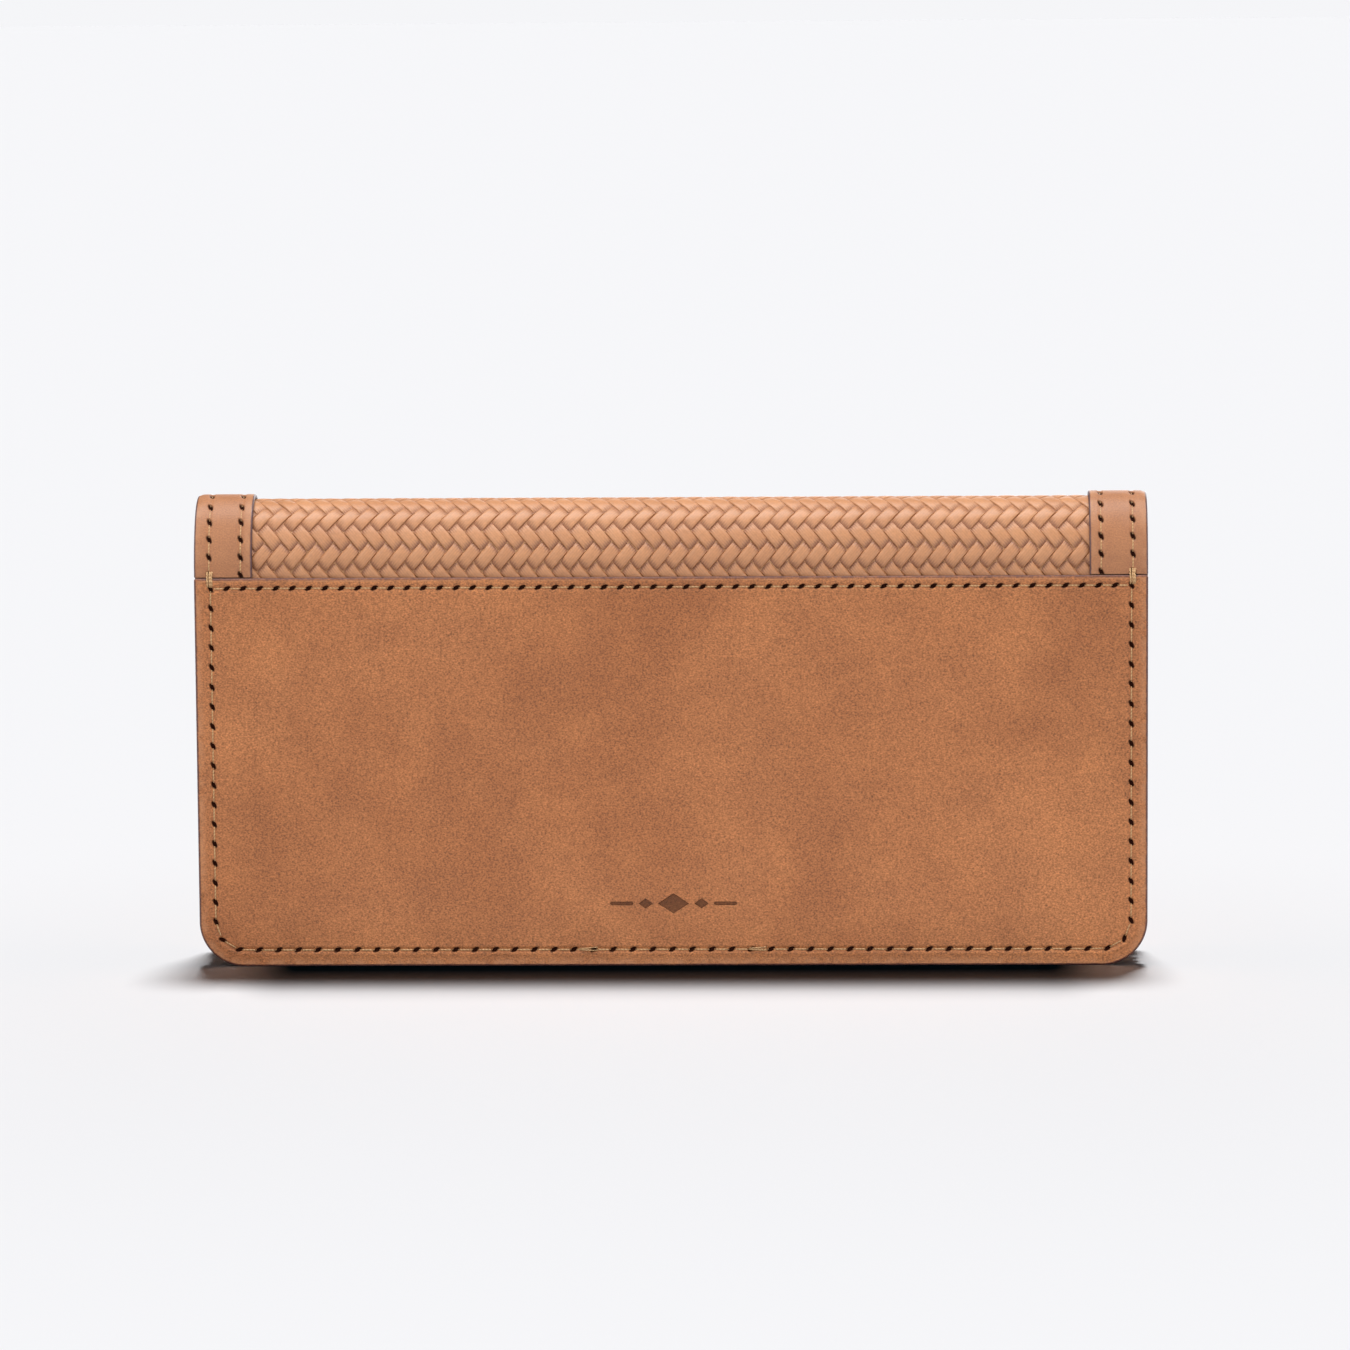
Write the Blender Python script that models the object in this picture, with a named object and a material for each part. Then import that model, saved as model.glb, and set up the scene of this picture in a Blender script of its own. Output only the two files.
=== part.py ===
"""Long flap wallet: a woven-leather flap that wraps over the spine of a gusseted leather body.

Frame: metres, +X along the length, +Y from the plain back panel towards the flap's snap, +Z up.
The origin is the centre of the base that the wallet stands on.
Depths (Y) are worked out from the middle of the spine fold; the empty "wallet" then centres the
whole object, cap of the snap included, over the origin.
"""

import math

import bmesh
import bpy
from mathutils import Matrix, Vector

MM = 0.001

# Overall sizes
WIDTH = 190 * MM
HEIGHT = 94.3 * MM
CORNER_R = 9 * MM

# Leather, lining and the clearances between layers
BACK_LEATHER = 1.2 * MM
WOVEN_LEATHER = 1.0 * MM
TRIM_LEATHER = 0.8 * MM
PANEL_LEATHER = 1.0 * MM
LINING = 0.6 * MM
CARD_LEATHER = 0.5 * MM
LAYER_GAP = 0.2 * MM
TRIM_GAP = 0.15 * MM

# Spine fold: the outer face of the woven leather is half an ellipse
SPINE_HALF_DEPTH = 9 * MM
SPINE_RISE = 14 * MM
SPINE_LINKS = 3
SPINE_CUT = 0.3 * MM
ARC_STEPS = 6

# Heights
BACK_PANEL_TOP = 78.3 * MM
FLAP_BOTTOM = 6 * MM
BAND_TOP = 28 * MM
SEAM_ALLOWANCE = 7 * MM
FRONT_TOP = 70 * MM
GUSSET_TOP = 66 * MM

# Trims, seams and stitches
TRIM_WIDTH = 11.6 * MM
STITCH_INSET = 3.2 * MM
THREAD_WIDTH = 0.5 * MM
THREAD_DEPTH = 0.25 * MM
GROOVE_WIDTH = 0.8 * MM
GROOVE_DEPTH = 0.35 * MM

# Card pockets
CARD_TOPS = (72 * MM, 62 * MM, 52 * MM, 42 * MM)
CARD_POCKET_DEPTH = 50 * MM
CARD_HALF_WIDTH = 92 * MM
BILL_GAP = 4.8 * MM

# Gussets
GUSSET_LEATHER = 0.4 * MM
GUSSET_EDGE = 94 * MM
GUSSET_TAB = 3 * MM
GUSSET_TIP = 82 * MM

# Coin pocket and its zip, set in a window of the front panel
FRONT_HALF_WIDTH = 93 * MM
FRONT_CORNER_R = 8 * MM
COIN_SPACE = 2.1 * MM
ZIP_HEIGHT = 57 * MM
WINDOW_HALF_LENGTH = 76 * MM
WINDOW_HALF_HEIGHT = 4 * MM
TAPE = 0.4 * MM
TAPE_HEIGHT = 9 * MM
TEETH_GAP = 0.4 * MM
TEETH_REACH = 2.0 * MM
TEETH_DEPTH = 1.8 * MM
TOOTH_PITCH = 2 * MM
CHAIN_HALF_LENGTH = 73 * MM
STOP_LENGTH = 2 * MM
SLIDER_X = 66 * MM
SLIDER_LENGTH = 8 * MM
SLIDER_HALF_HEIGHT = 3.2 * MM
SLIDER_PLATE = 0.7 * MM
SLIDER_CLEARANCE = 0.3 * MM
PULL_LENGTH = 20 * MM
PULL_WIDTH = 6 * MM
PULL_THICKNESS = 0.6 * MM

# Snap fastener, through the middle of the flap's band
SNAP_HEIGHT = 17 * MM
SNAP_CAP_R = 6.25 * MM
SNAP_CAP_RISE = 1.8 * MM

ROUND_STEPS = 24

# Depths of the layers, back to front, from the middle of the spine fold
WOVEN_FACE = SPINE_HALF_DEPTH
WOVEN_BACK = WOVEN_FACE - WOVEN_LEATHER
LINING_FACE = WOVEN_BACK - LAYER_GAP
LINING_BACK = LINING_FACE - LINING
TRIM_BACK = WOVEN_FACE + TRIM_GAP
TRIM_FACE = TRIM_BACK + TRIM_LEATHER
PANEL_INNER = WOVEN_FACE + LAYER_GAP
PANEL_FACE = PANEL_INNER + BACK_LEATHER
CARD_PITCH = CARD_LEATHER + LAYER_GAP
CARD_FRONT = -LINING_BACK + len(CARD_TOPS) * CARD_PITCH
POCKET_BACK = CARD_FRONT + BILL_GAP
POCKET_FRONT = POCKET_BACK + LINING
TAPE_BACK = POCKET_FRONT + COIN_SPACE + LAYER_GAP
TAPE_FRONT = TAPE_BACK + TAPE
ZIP_DEPTH = (TAPE_BACK + TAPE_FRONT) / 2
FRONT_BACK = TAPE_FRONT + LAYER_GAP
FRONT_FACE = FRONT_BACK + PANEL_LEATHER
SLIDER_FACE = ZIP_DEPTH + TEETH_DEPTH / 2 + SLIDER_CLEARANCE + SLIDER_PLATE
PULL_DEPTH = SLIDER_FACE + LAYER_GAP
CAP_BACK = PANEL_FACE + 0.1 * MM
CAP_FACE = CAP_BACK + SNAP_CAP_RISE

# The spine's highest point is the face of the trims that run over it
SPINE_BASE = HEIGHT - (TRIM_FACE - WOVEN_FACE) - SPINE_RISE
CENTRING = (PANEL_FACE - CAP_FACE) / 2

COLOURS = {
    "back_leather": ((0.44, 0.17, 0.075, 1), 0.62, 0),
    "trim_leather": ((0.52, 0.24, 0.115, 1), 0.55, 0),
    "woven_leather": ((0.53, 0.25, 0.12, 1), 0.5, 0),
    "lining_leather": ((0.40, 0.19, 0.09, 1), 0.75, 0),
    "card_leather": ((0.46, 0.20, 0.09, 1), 0.6, 0),
    "stiffener_board": ((0.32, 0.24, 0.17, 1), 0.9, 0),
    "thread": ((0.45, 0.30, 0.13, 1), 0.7, 0),
    "zip_tape": ((0.24, 0.12, 0.06, 1), 0.9, 0),
    "brass": ((0.60, 0.43, 0.20, 1), 0.32, 1),
}


# ---- small tools ----


def clear_scene():
    for obj in list(bpy.data.objects):
        bpy.data.objects.remove(obj, do_unlink=True)


def material(slot):
    """The material of that slot, made the first time that it is asked for."""
    found = bpy.data.materials.get(slot)
    if found:
        return found
    colour, roughness, metallic = COLOURS[slot]
    made = bpy.data.materials.new(slot)
    made.use_nodes = True
    shader = made.node_tree.nodes["Principled BSDF"]
    shader.inputs["Base Color"].default_value = colour
    shader.inputs["Roughness"].default_value = roughness
    shader.inputs["Metallic"].default_value = metallic
    made.diffuse_color = colour
    return made


def piece(name, bm, slot):
    """Turns a bmesh into a named object of the wallet."""
    bmesh.ops.recalc_face_normals(bm, faces=bm.faces)
    mesh = bpy.data.meshes.new(name)
    bm.to_mesh(mesh)
    bm.free()
    mesh.materials.append(material(slot))
    obj = bpy.data.objects.new(name, mesh)
    bpy.context.scene.collection.objects.link(obj)
    obj.parent = bpy.data.objects["wallet"]
    return obj


def extrude_ring(points, offset):
    """A closed solid: the polygon through points, pushed along offset."""
    bm = bmesh.new()
    face = bm.faces.new([bm.verts.new(p) for p in points])
    pushed = bmesh.ops.extrude_face_region(bm, geom=[face])
    moved = [v for v in pushed["geom"] if isinstance(v, bmesh.types.BMVert)]
    bmesh.ops.translate(bm, verts=moved, vec=offset)
    return bm


def slab(name, outline, back, front, slot):
    """A flat piece: an outline of (x, z) points, thick from depth back to depth front."""
    points = [(x, back, z) for x, z in outline]
    return piece(name, extrude_ring(points, (0, front - back, 0)), slot)


def strip(name, profile, x_low, x_high, slot):
    """A piece of constant section: a profile of (y, z) points, pushed from x_low to x_high."""
    points = [(x_low, y, z) for y, z in profile]
    return piece(name, extrude_ring(points, (x_high - x_low, 0, 0)), slot)


def turned(name, profile, centre_x, centre_z, slot):
    """A piece turned about an axis along Y. The profile is closed, of (radius, y) points."""
    bm = bmesh.new()
    rings = []
    for step in range(ROUND_STEPS):
        angle = 2 * math.pi * step / ROUND_STEPS
        across, up = math.cos(angle), math.sin(angle)
        rings.append([bm.verts.new((centre_x + r * across, y, centre_z + r * up)) for r, y in profile])
    for step in range(ROUND_STEPS):
        here, after = rings[step], rings[(step + 1) % ROUND_STEPS]
        for i in range(len(profile)):
            j = (i + 1) % len(profile)
            bm.faces.new((here[i], here[j], after[j], after[i]))
    bmesh.ops.remove_doubles(bm, verts=bm.verts, dist=1e-6)
    bmesh.ops.dissolve_degenerate(bm, dist=1e-7, edges=bm.edges)
    return piece(name, bm, slot)


def carve(obj, cutter, operation="DIFFERENCE"):
    """Cuts obj with a guide object, which stays out of the model."""
    cutter.hide_render = True
    cutter.display_type = "WIRE"
    boolean = obj.modifiers.new("carve_" + cutter.name, "BOOLEAN")
    boolean.object = cutter
    boolean.operation = operation
    boolean.solver = "EXACT"


def arc(centre_x, centre_z, radius, start, end, steps=ARC_STEPS):
    angles = [math.radians(start + (end - start) * i / steps) for i in range(steps + 1)]
    return [(centre_x + radius * math.cos(a), centre_z + radius * math.sin(a)) for a in angles]


def u_path(half_width, bottom, top, radius):
    """Down the left side, round both lower corners and up the right side, as (x, z) points."""
    inner = half_width - radius
    left = arc(-inner, bottom + radius, radius, 180, 270)
    right = arc(inner, bottom + radius, radius, 270, 360)
    return [(-half_width, top), *left, *right, (half_width, top)]


def box_outline(x_low, x_high, z_low, z_high):
    return [(x_low, z_low), (x_high, z_low), (x_high, z_high), (x_low, z_high)]


def u_ribbon(half_width, bottom, top, radius, inset, width):
    """The outline of a narrow ribbon that follows a panel's sides and lower edge, inset from them."""
    near, far = inset - width / 2, inset + width / 2
    outer = u_path(half_width - near, bottom + near, top, radius - near)
    inner = u_path(half_width - far, bottom + far, top, radius - far)
    return outer + inner[::-1]


def frame_strip(name, outer, inner, back, front, slot):
    """A flat closed loop between two outlines that have the same number of points."""
    bm = bmesh.new()
    loops = [
        [bm.verts.new((x, y, z)) for x, z in outline]
        for outline, y in ((outer, back), (outer, front), (inner, front), (inner, back))
    ]
    count = len(outer)
    for k in range(4):
        here, after = loops[k], loops[(k + 1) % 4]
        for i in range(count):
            j = (i + 1) % count
            bm.faces.new((here[i], here[j], after[j], after[i]))
    return piece(name, bm, slot)


# ---- the spine fold ----


def spine_point(turn, offset):
    """The (y, z) point where the fold has turned that many degrees, offset outwards from the weave's face."""
    a, b = SPINE_HALF_DEPTH, SPINE_RISE
    turned_by = math.radians(turn)
    t = math.atan2(b * math.sin(turned_by), a * math.cos(turned_by))
    y, z = -a * math.cos(t), SPINE_BASE + b * math.sin(t)
    return y - offset * math.cos(turned_by), z + offset * math.sin(turned_by)


def cut_turn(turn):
    """Half the cut between two links of the spine, as degrees of turn at that place."""
    ahead, behind = spine_point(turn + 0.5, 0), spine_point(turn - 0.5, 0)
    per_degree = math.dist(ahead, behind)
    return SPINE_CUT / 2 / per_degree


HINGE_TURNS = [180 / (SPINE_LINKS + 1) * (k + 0.5) for k in range(SPINE_LINKS + 1)]


def fold_profile(start, end, outer, inner, tail_start=None, tail_end=None):
    """The section of one layer of the fold between two turns, with a straight tail down either side."""
    turns = [start + (end - start) * i / ARC_STEPS for i in range(ARC_STEPS + 1)]
    outside = [spine_point(turn, outer) for turn in turns]
    inside = [spine_point(turn, inner) for turn in turns]
    if tail_start is not None:
        outside.insert(0, (outside[0][0], tail_start))
        inside.insert(0, (inside[0][0], tail_start))
    if tail_end is not None:
        outside.append((outside[-1][0], tail_end))
        inside.append((inside[-1][0], tail_end))
    return outside + inside[::-1]


# The layers that run over the fold: name, offsets of outer and inner face, x range, material
HALF = WIDTH / 2
FOLD_LAYERS = (
    ("woven", 0, -WOVEN_LEATHER, (-HALF, HALF), "woven_leather"),
    ("lining", LINING_FACE - WOVEN_FACE, LINING_BACK - WOVEN_FACE, (-HALF, HALF), "lining_leather"),
    ("trim_left", TRIM_GAP, TRIM_GAP + TRIM_LEATHER, (-HALF, TRIM_WIDTH - HALF), "trim_leather"),
    ("trim_right", TRIM_GAP, TRIM_GAP + TRIM_LEATHER, (HALF - TRIM_WIDTH, HALF), "trim_leather"),
)
# How far each layer runs down the back and down the front
BACK_TAILS = {
    "woven": BACK_PANEL_TOP - SEAM_ALLOWANCE,
    "lining": 0.5 * MM,
    "trim_left": BACK_PANEL_TOP + LAYER_GAP,
    "trim_right": BACK_PANEL_TOP + LAYER_GAP,
}
FRONT_TAILS = {
    "woven": BAND_TOP - SEAM_ALLOWANCE,
    "lining": FLAP_BOTTOM,
    "trim_left": BAND_TOP + LAYER_GAP,
    "trim_right": BAND_TOP + LAYER_GAP,
}
LAYER_NAMES = {("lining", "back"): "back_lining", ("lining", "front"): "flap_lining"}


def fold_layers():
    first, last = HINGE_TURNS[0], HINGE_TURNS[-1]
    for layer, outer, inner, (x_low, x_high), slot in FOLD_LAYERS:
        back = LAYER_NAMES.get((layer, "back"), layer + "_back")
        front = LAYER_NAMES.get((layer, "front"), layer + "_front")
        profile = fold_profile(0, first - cut_turn(first), outer, inner, tail_start=BACK_TAILS[layer])
        strip(back, profile, x_low, x_high, slot)
        for link in range(SPINE_LINKS):
            start, end = HINGE_TURNS[link], HINGE_TURNS[link + 1]
            profile = fold_profile(start + cut_turn(start), end - cut_turn(end), outer, inner)
            strip(f"{layer}_spine_{link + 1}", profile, x_low, x_high, slot)
        profile = fold_profile(last + cut_turn(last), 180, outer, inner, tail_end=FRONT_TAILS[layer])
        strip(front, profile, x_low, x_high, slot)


def round_lower_corners():
    """The linings follow the rounded lower corners of the leather that they back."""
    for name, bottom, depth in (("back_lining", 0, -1), ("flap_lining", FLAP_BOTTOM, 1)):
        outline = u_path(HALF, bottom, HEIGHT + CORNER_R, CORNER_R)
        near, far = sorted((0, depth * 2 * SPINE_HALF_DEPTH))
        guide = slab(name + "_corners", outline, near, far, "lining_leather")
        carve(bpy.data.objects[name], guide, "INTERSECT")


# ---- back section ----


def back_section():
    panel = slab(
        "back_panel",
        u_path(HALF, 0, BACK_PANEL_TOP, CORNER_R),
        -PANEL_FACE,
        -PANEL_INNER,
        "back_leather",
    )
    seam_z = BACK_PANEL_TOP - GROOVE_WIDTH - 1.2 * MM
    side_top = seam_z - GROOVE_WIDTH
    for width, depth, is_thread in (
        (GROOVE_WIDTH, GROOVE_DEPTH, False),
        (THREAD_WIDTH, THREAD_DEPTH, True),
    ):
        # A thread lies a little below the face, on the bottom of its groove
        rise = (GROOVE_DEPTH - THREAD_DEPTH) / 2
        face = -PANEL_FACE + rise if is_thread else -PANEL_FACE - GROOVE_DEPTH
        floor = face + THREAD_DEPTH if is_thread else -PANEL_FACE + GROOVE_DEPTH
        name = "thread" if is_thread else "groove"
        sides = slab(
            "back_panel_" + name,
            u_ribbon(HALF, 0, side_top, CORNER_R, STITCH_INSET, width),
            face,
            floor,
            "thread",
        )
        reach = HALF - STITCH_INSET + width / 2
        top = slab(
            "top_seam_" + name,
            box_outline(-reach, reach, seam_z - width / 2, seam_z + width / 2),
            face,
            floor,
            "thread",
        )
        if not is_thread:
            carve(panel, sides)
            carve(panel, top)

    inset = 4 * MM
    slab(
        "back_stiffener",
        u_path(HALF - inset, inset, BACK_TAILS["woven"] - LAYER_GAP, CORNER_R - inset),
        -WOVEN_FACE,
        -WOVEN_BACK,
        "stiffener_board",
    )
    card_pockets()
    gussets()


def card_pockets():
    """Four stepped rows of card pockets, each row one piece sewn down its middle."""
    back = -LINING_BACK + LAYER_GAP
    for row, top in enumerate(CARD_TOPS):
        bottom = max(top - CARD_POCKET_DEPTH, 0.6 * MM)
        radius = CORNER_R if bottom < CORNER_R else 1 * MM
        outline = u_path(CARD_HALF_WIDTH, bottom, top, radius)
        face = back + row * CARD_PITCH
        slab(f"card_slot_{row + 1}", outline, face, face + CARD_LEATHER, "card_leather")
    half = THREAD_WIDTH / 2
    slab(
        "card_divider_thread",
        box_outline(-half, half, 5 * MM, CARD_TOPS[-1] - 1 * MM),
        CARD_FRONT + 0.05 * MM,
        CARD_FRONT + 0.05 * MM + THREAD_DEPTH,
        "thread",
    )


def gussets():
    """A V-folded gusset at each end of the bill compartment, and a strip along its bottom."""
    rear = CARD_FRONT + LAYER_GAP
    front = POCKET_BACK - LAYER_GAP
    middle = (rear + front) / 2
    half = GUSSET_LEATHER / 2
    tab = GUSSET_EDGE - GUSSET_TAB
    for name, side in (("gusset_left", -1), ("gusset_right", 1)):
        outside = [(GUSSET_EDGE, rear), (tab, rear), (GUSSET_TIP, middle), (tab, front), (GUSSET_EDGE, front)]
        inside = [
            (GUSSET_EDGE, front - GUSSET_LEATHER),
            (tab, front - GUSSET_LEATHER),
            (GUSSET_TIP + 4 * half, middle),
            (tab, rear + GUSSET_LEATHER),
            (GUSSET_EDGE, rear + GUSSET_LEATHER),
        ]
        points = [(side * x, y, 0.6 * MM) for x, y in outside + inside]
        lift = (0, 0, GUSSET_TOP - 0.6 * MM)
        piece(name, extrude_ring(points, lift), "lining_leather")
    reach = GUSSET_TIP - 1 * MM
    slab(
        "bottom_gusset",
        box_outline(-reach, reach, 0.3 * MM, 2.3 * MM),
        rear,
        front,
        "lining_leather",
    )


# ---- flap ----


def flap_band():
    """The plain band along the flap's lower edge, its stiffener and its stitches."""
    outline = u_path(HALF, FLAP_BOTTOM, BAND_TOP, CORNER_R)
    band = slab("flap_band", outline, PANEL_INNER, PANEL_FACE, "trim_leather")
    inset = 1 * MM
    stiffener = slab(
        "band_stiffener",
        u_path(HALF - inset, FLAP_BOTTOM + inset, FRONT_TAILS["woven"] - LAYER_GAP, CORNER_R - inset),
        WOVEN_BACK,
        WOVEN_FACE,
        "stiffener_board",
    )
    near, far = STITCH_INSET - THREAD_WIDTH / 2, STITCH_INSET + THREAD_WIDTH / 2
    loops = [
        u_path(HALF - d, FLAP_BOTTOM + d, BAND_TOP - d, CORNER_R - d) for d in (near, far)
    ]
    face = PANEL_FACE + 0.05 * MM
    frame_strip("band_thread", loops[0], loops[1], face, face + THREAD_DEPTH, "thread")
    for obj in (band, stiffener):
        cutter = turned(
            obj.name + "_hole",
            [(0, 0), (0, 2 * PANEL_FACE), (2 * MM, 2 * PANEL_FACE), (2 * MM, 0)],
            0,
            SNAP_HEIGHT,
            "brass",
        )
        carve(obj, cutter)
    cutter = turned(
        "flap_lining_hole",
        [(0, 0), (0, 2 * PANEL_FACE), (3.6 * MM, 2 * PANEL_FACE), (3.6 * MM, 0)],
        0,
        SNAP_HEIGHT,
        "brass",
    )
    carve(bpy.data.objects["flap_lining"], cutter)


def snap_fastener():
    """Cap and socket on the flap; stud and its post on the front panel."""
    post_r = 1.6 * MM
    dome = [
        (SNAP_CAP_R * math.cos(math.radians(a)), CAP_BACK + SNAP_CAP_RISE * math.sin(math.radians(a)))
        for a in (18, 38, 58, 75)
    ]
    lining = LINING_BACK
    cap = [
        (0, lining - 0.1 * MM),
        (post_r, lining - 0.1 * MM),
        (post_r, CAP_BACK),
        (SNAP_CAP_R, CAP_BACK),
        *dome,
        (0, CAP_FACE),
    ]
    turned("snap_cap", cap, 0, SNAP_HEIGHT, "brass")
    plate = lining - 0.2 * MM
    socket = [
        (1.9 * MM, plate),
        (5.4 * MM, plate),
        (5.4 * MM, FRONT_FACE + 0.8 * MM),
        (3.3 * MM, FRONT_FACE + 0.8 * MM),
        (3.3 * MM, plate - 0.3 * MM),
        (1.9 * MM, plate - 0.3 * MM),
    ]
    turned("snap_socket", socket, 0, SNAP_HEIGHT, "brass")
    flange = FRONT_FACE + 0.1 * MM
    knob_top = plate - 0.5 * MM
    stud = [
        (0, flange),
        (5 * MM, flange),
        (5 * MM, flange + 0.4 * MM),
        (2.4 * MM, flange + 0.4 * MM),
        (2.4 * MM, flange + 0.9 * MM),
        (2.8 * MM, knob_top - 0.5 * MM),
        (2.4 * MM, knob_top),
        (0, knob_top),
    ]
    turned("snap_stud", stud, 0, SNAP_HEIGHT, "brass")
    rear = FRONT_BACK - 0.5 * MM
    post = [
        (0, rear),
        (4.5 * MM, rear),
        (4.5 * MM, rear + 0.35 * MM),
        (1.5 * MM, rear + 0.35 * MM),
        (1.5 * MM, flange - 0.05 * MM),
        (0, flange - 0.05 * MM),
    ]
    turned("snap_post", post, 0, SNAP_HEIGHT, "brass")


# ---- front section, with the zipped coin pocket ----


def front_section():
    panel = slab(
        "front_panel",
        u_path(FRONT_HALF_WIDTH, 0, FRONT_TOP, FRONT_CORNER_R),
        FRONT_BACK,
        FRONT_FACE,
        "back_leather",
    )
    low, high = ZIP_HEIGHT - WINDOW_HALF_HEIGHT, ZIP_HEIGHT + WINDOW_HALF_HEIGHT
    window = slab(
        "zip_window",
        box_outline(-WINDOW_HALF_LENGTH, WINDOW_HALF_LENGTH, low, high),
        0,
        2 * PANEL_FACE,
        "back_leather",
    )
    carve(panel, window)
    hole = turned(
        "stud_hole",
        [(0, 0), (0, 2 * PANEL_FACE), (1.8 * MM, 2 * PANEL_FACE), (1.8 * MM, 0)],
        0,
        SNAP_HEIGHT,
        "brass",
    )
    carve(panel, hole)
    slab(
        "pocket_lining",
        u_path(FRONT_HALF_WIDTH - 1 * MM, 0.6 * MM, FRONT_TOP - 1 * MM, FRONT_CORNER_R),
        POCKET_BACK,
        POCKET_FRONT,
        "lining_leather",
    )
    face = FRONT_FACE + 0.05 * MM
    ribbon = u_ribbon(
        FRONT_HALF_WIDTH, 0, FRONT_TOP - 2 * MM, FRONT_CORNER_R, STITCH_INSET - 0.4 * MM, THREAD_WIDTH
    )
    slab("front_panel_thread", ribbon, face, face + THREAD_DEPTH, "thread")
    loops = [
        box_outline(
            -WINDOW_HALF_LENGTH - d, WINDOW_HALF_LENGTH + d, low - d, high + d
        )
        for d in (1.8 * MM + THREAD_WIDTH / 2, 1.8 * MM - THREAD_WIDTH / 2)
    ]
    frame_strip("zip_thread", loops[0], loops[1], face, face + THREAD_DEPTH, "thread")


def castellated(base, tip, phase):
    """The outline of one row of zip teeth, from the row's base to the tips of its teeth."""
    neck = base + (tip - base) * 0.45
    points = [(-CHAIN_HALF_LENGTH, base), (CHAIN_HALF_LENGTH, base), (CHAIN_HALF_LENGTH, neck)]
    half = TOOTH_PITCH * 0.28
    count = int((2 * CHAIN_HALF_LENGTH - 4 * half) / TOOTH_PITCH)
    for tooth in range(count - 1, -1, -1):
        x = (tooth - (count - 1) / 2 + phase) * TOOTH_PITCH
        points += [(x + half, neck), (x + half, tip), (x - half, tip), (x - half, neck)]
    points.append((-CHAIN_HALF_LENGTH, neck))
    return points


def zip_fastener():
    length = WINDOW_HALF_LENGTH + 4 * MM
    for name, side, phase in (("upper", 1, 0.25), ("lower", -1, -0.25)):
        near = ZIP_HEIGHT + side * (TEETH_REACH + LAYER_GAP)
        low, high = sorted((near, near + side * TAPE_HEIGHT))
        slab("zip_tape_" + name, box_outline(-length, length, low, high), TAPE_BACK, TAPE_FRONT, "zip_tape")
        row = castellated(ZIP_HEIGHT + side * TEETH_REACH, ZIP_HEIGHT + side * TEETH_GAP, phase)
        half = TEETH_DEPTH / 2
        slab("zip_teeth_" + name, row, ZIP_DEPTH - half, ZIP_DEPTH + half, "brass")
    for name, side in (("left", -1), ("right", 1)):
        near = side * (CHAIN_HALF_LENGTH + LAYER_GAP)
        x_low, x_high = sorted((near, near + side * STOP_LENGTH))
        outline = box_outline(x_low, x_high, ZIP_HEIGHT - TEETH_REACH, ZIP_HEIGHT + TEETH_REACH)
        slab("zip_stop_" + name, outline, ZIP_DEPTH - 1 * MM, ZIP_DEPTH + 1 * MM, "brass")


def zip_slider():
    """Two plates with lips round the teeth, joined by the wedge between the rows, and a pin for the pull."""
    inside = TEETH_DEPTH / 2 + SLIDER_CLEARANCE
    outside = inside + SLIDER_PLATE
    lip = 0.4 * MM
    lip_z = SLIDER_HALF_HEIGHT - 0.6 * MM
    half = SLIDER_LENGTH / 2
    nose = SLIDER_X + half
    wedge = 0.25 * MM
    # Section of one plate in (y, z): a channel whose lips reach towards the tape
    channel = [
        (outside, -SLIDER_HALF_HEIGHT),
        (outside, SLIDER_HALF_HEIGHT),
        (inside - lip, SLIDER_HALF_HEIGHT),
        (inside - lip, lip_z),
        (inside, lip_z),
        (inside, -lip_z),
        (inside - lip, -lip_z),
        (inside - lip, -SLIDER_HALF_HEIGHT),
    ]
    plates = []
    for side, name in ((1, "zip_slider"), (-1, "slider_rear_plate")):
        profile = [(ZIP_DEPTH + side * y, ZIP_HEIGHT + z) for y, z in channel]
        plates.append(strip(name, profile, SLIDER_X - half, SLIDER_X + half, "brass"))
    middle = slab(
        "slider_wedge",
        box_outline(nose - 3 * MM, nose - 0.5 * MM, ZIP_HEIGHT - wedge, ZIP_HEIGHT + wedge),
        ZIP_DEPTH - outside + SLIDER_PLATE / 2,
        ZIP_DEPTH + outside - SLIDER_PLATE / 2,
        "brass",
    )
    face = SLIDER_FACE
    pin = turned(
        "slider_pin",
        [
            (0, face - SLIDER_PLATE / 2),
            (0.8 * MM, face - SLIDER_PLATE / 2),
            (0.8 * MM, face + 1.0 * MM),
            (1.5 * MM, face + 1.0 * MM),
            (1.5 * MM, face + 1.3 * MM),
            (0, face + 1.3 * MM),
        ],
        SLIDER_X,
        ZIP_HEIGHT,
        "brass",
    )
    for joined in (plates[1], middle, pin):
        carve(plates[0], joined, "UNION")
    zip_pull()


def zip_pull():
    """A teardrop pull that hangs from the slider's pin."""
    eye_r = 2.3 * MM
    tip_r = PULL_WIDTH / 2
    reach = PULL_LENGTH - tip_r - eye_r
    lean = math.degrees(math.asin((tip_r - eye_r) / reach))
    eye = arc(SLIDER_X, ZIP_HEIGHT, eye_r, lean, 180 - lean, 8)
    tip = arc(SLIDER_X, ZIP_HEIGHT - reach, tip_r, 180 - lean, 360 + lean, 12)
    pull = slab("zip_pull", eye + tip, PULL_DEPTH, PULL_DEPTH + PULL_THICKNESS, "brass")
    eye_hole = turned(
        "pull_eye_hole",
        [(0, 0), (0, 2 * PANEL_FACE), (1.0 * MM, 2 * PANEL_FACE), (1.0 * MM, 0)],
        SLIDER_X,
        ZIP_HEIGHT,
        "brass",
    )
    carve(pull, eye_hole)


# ---- moving pieces ----


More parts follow.
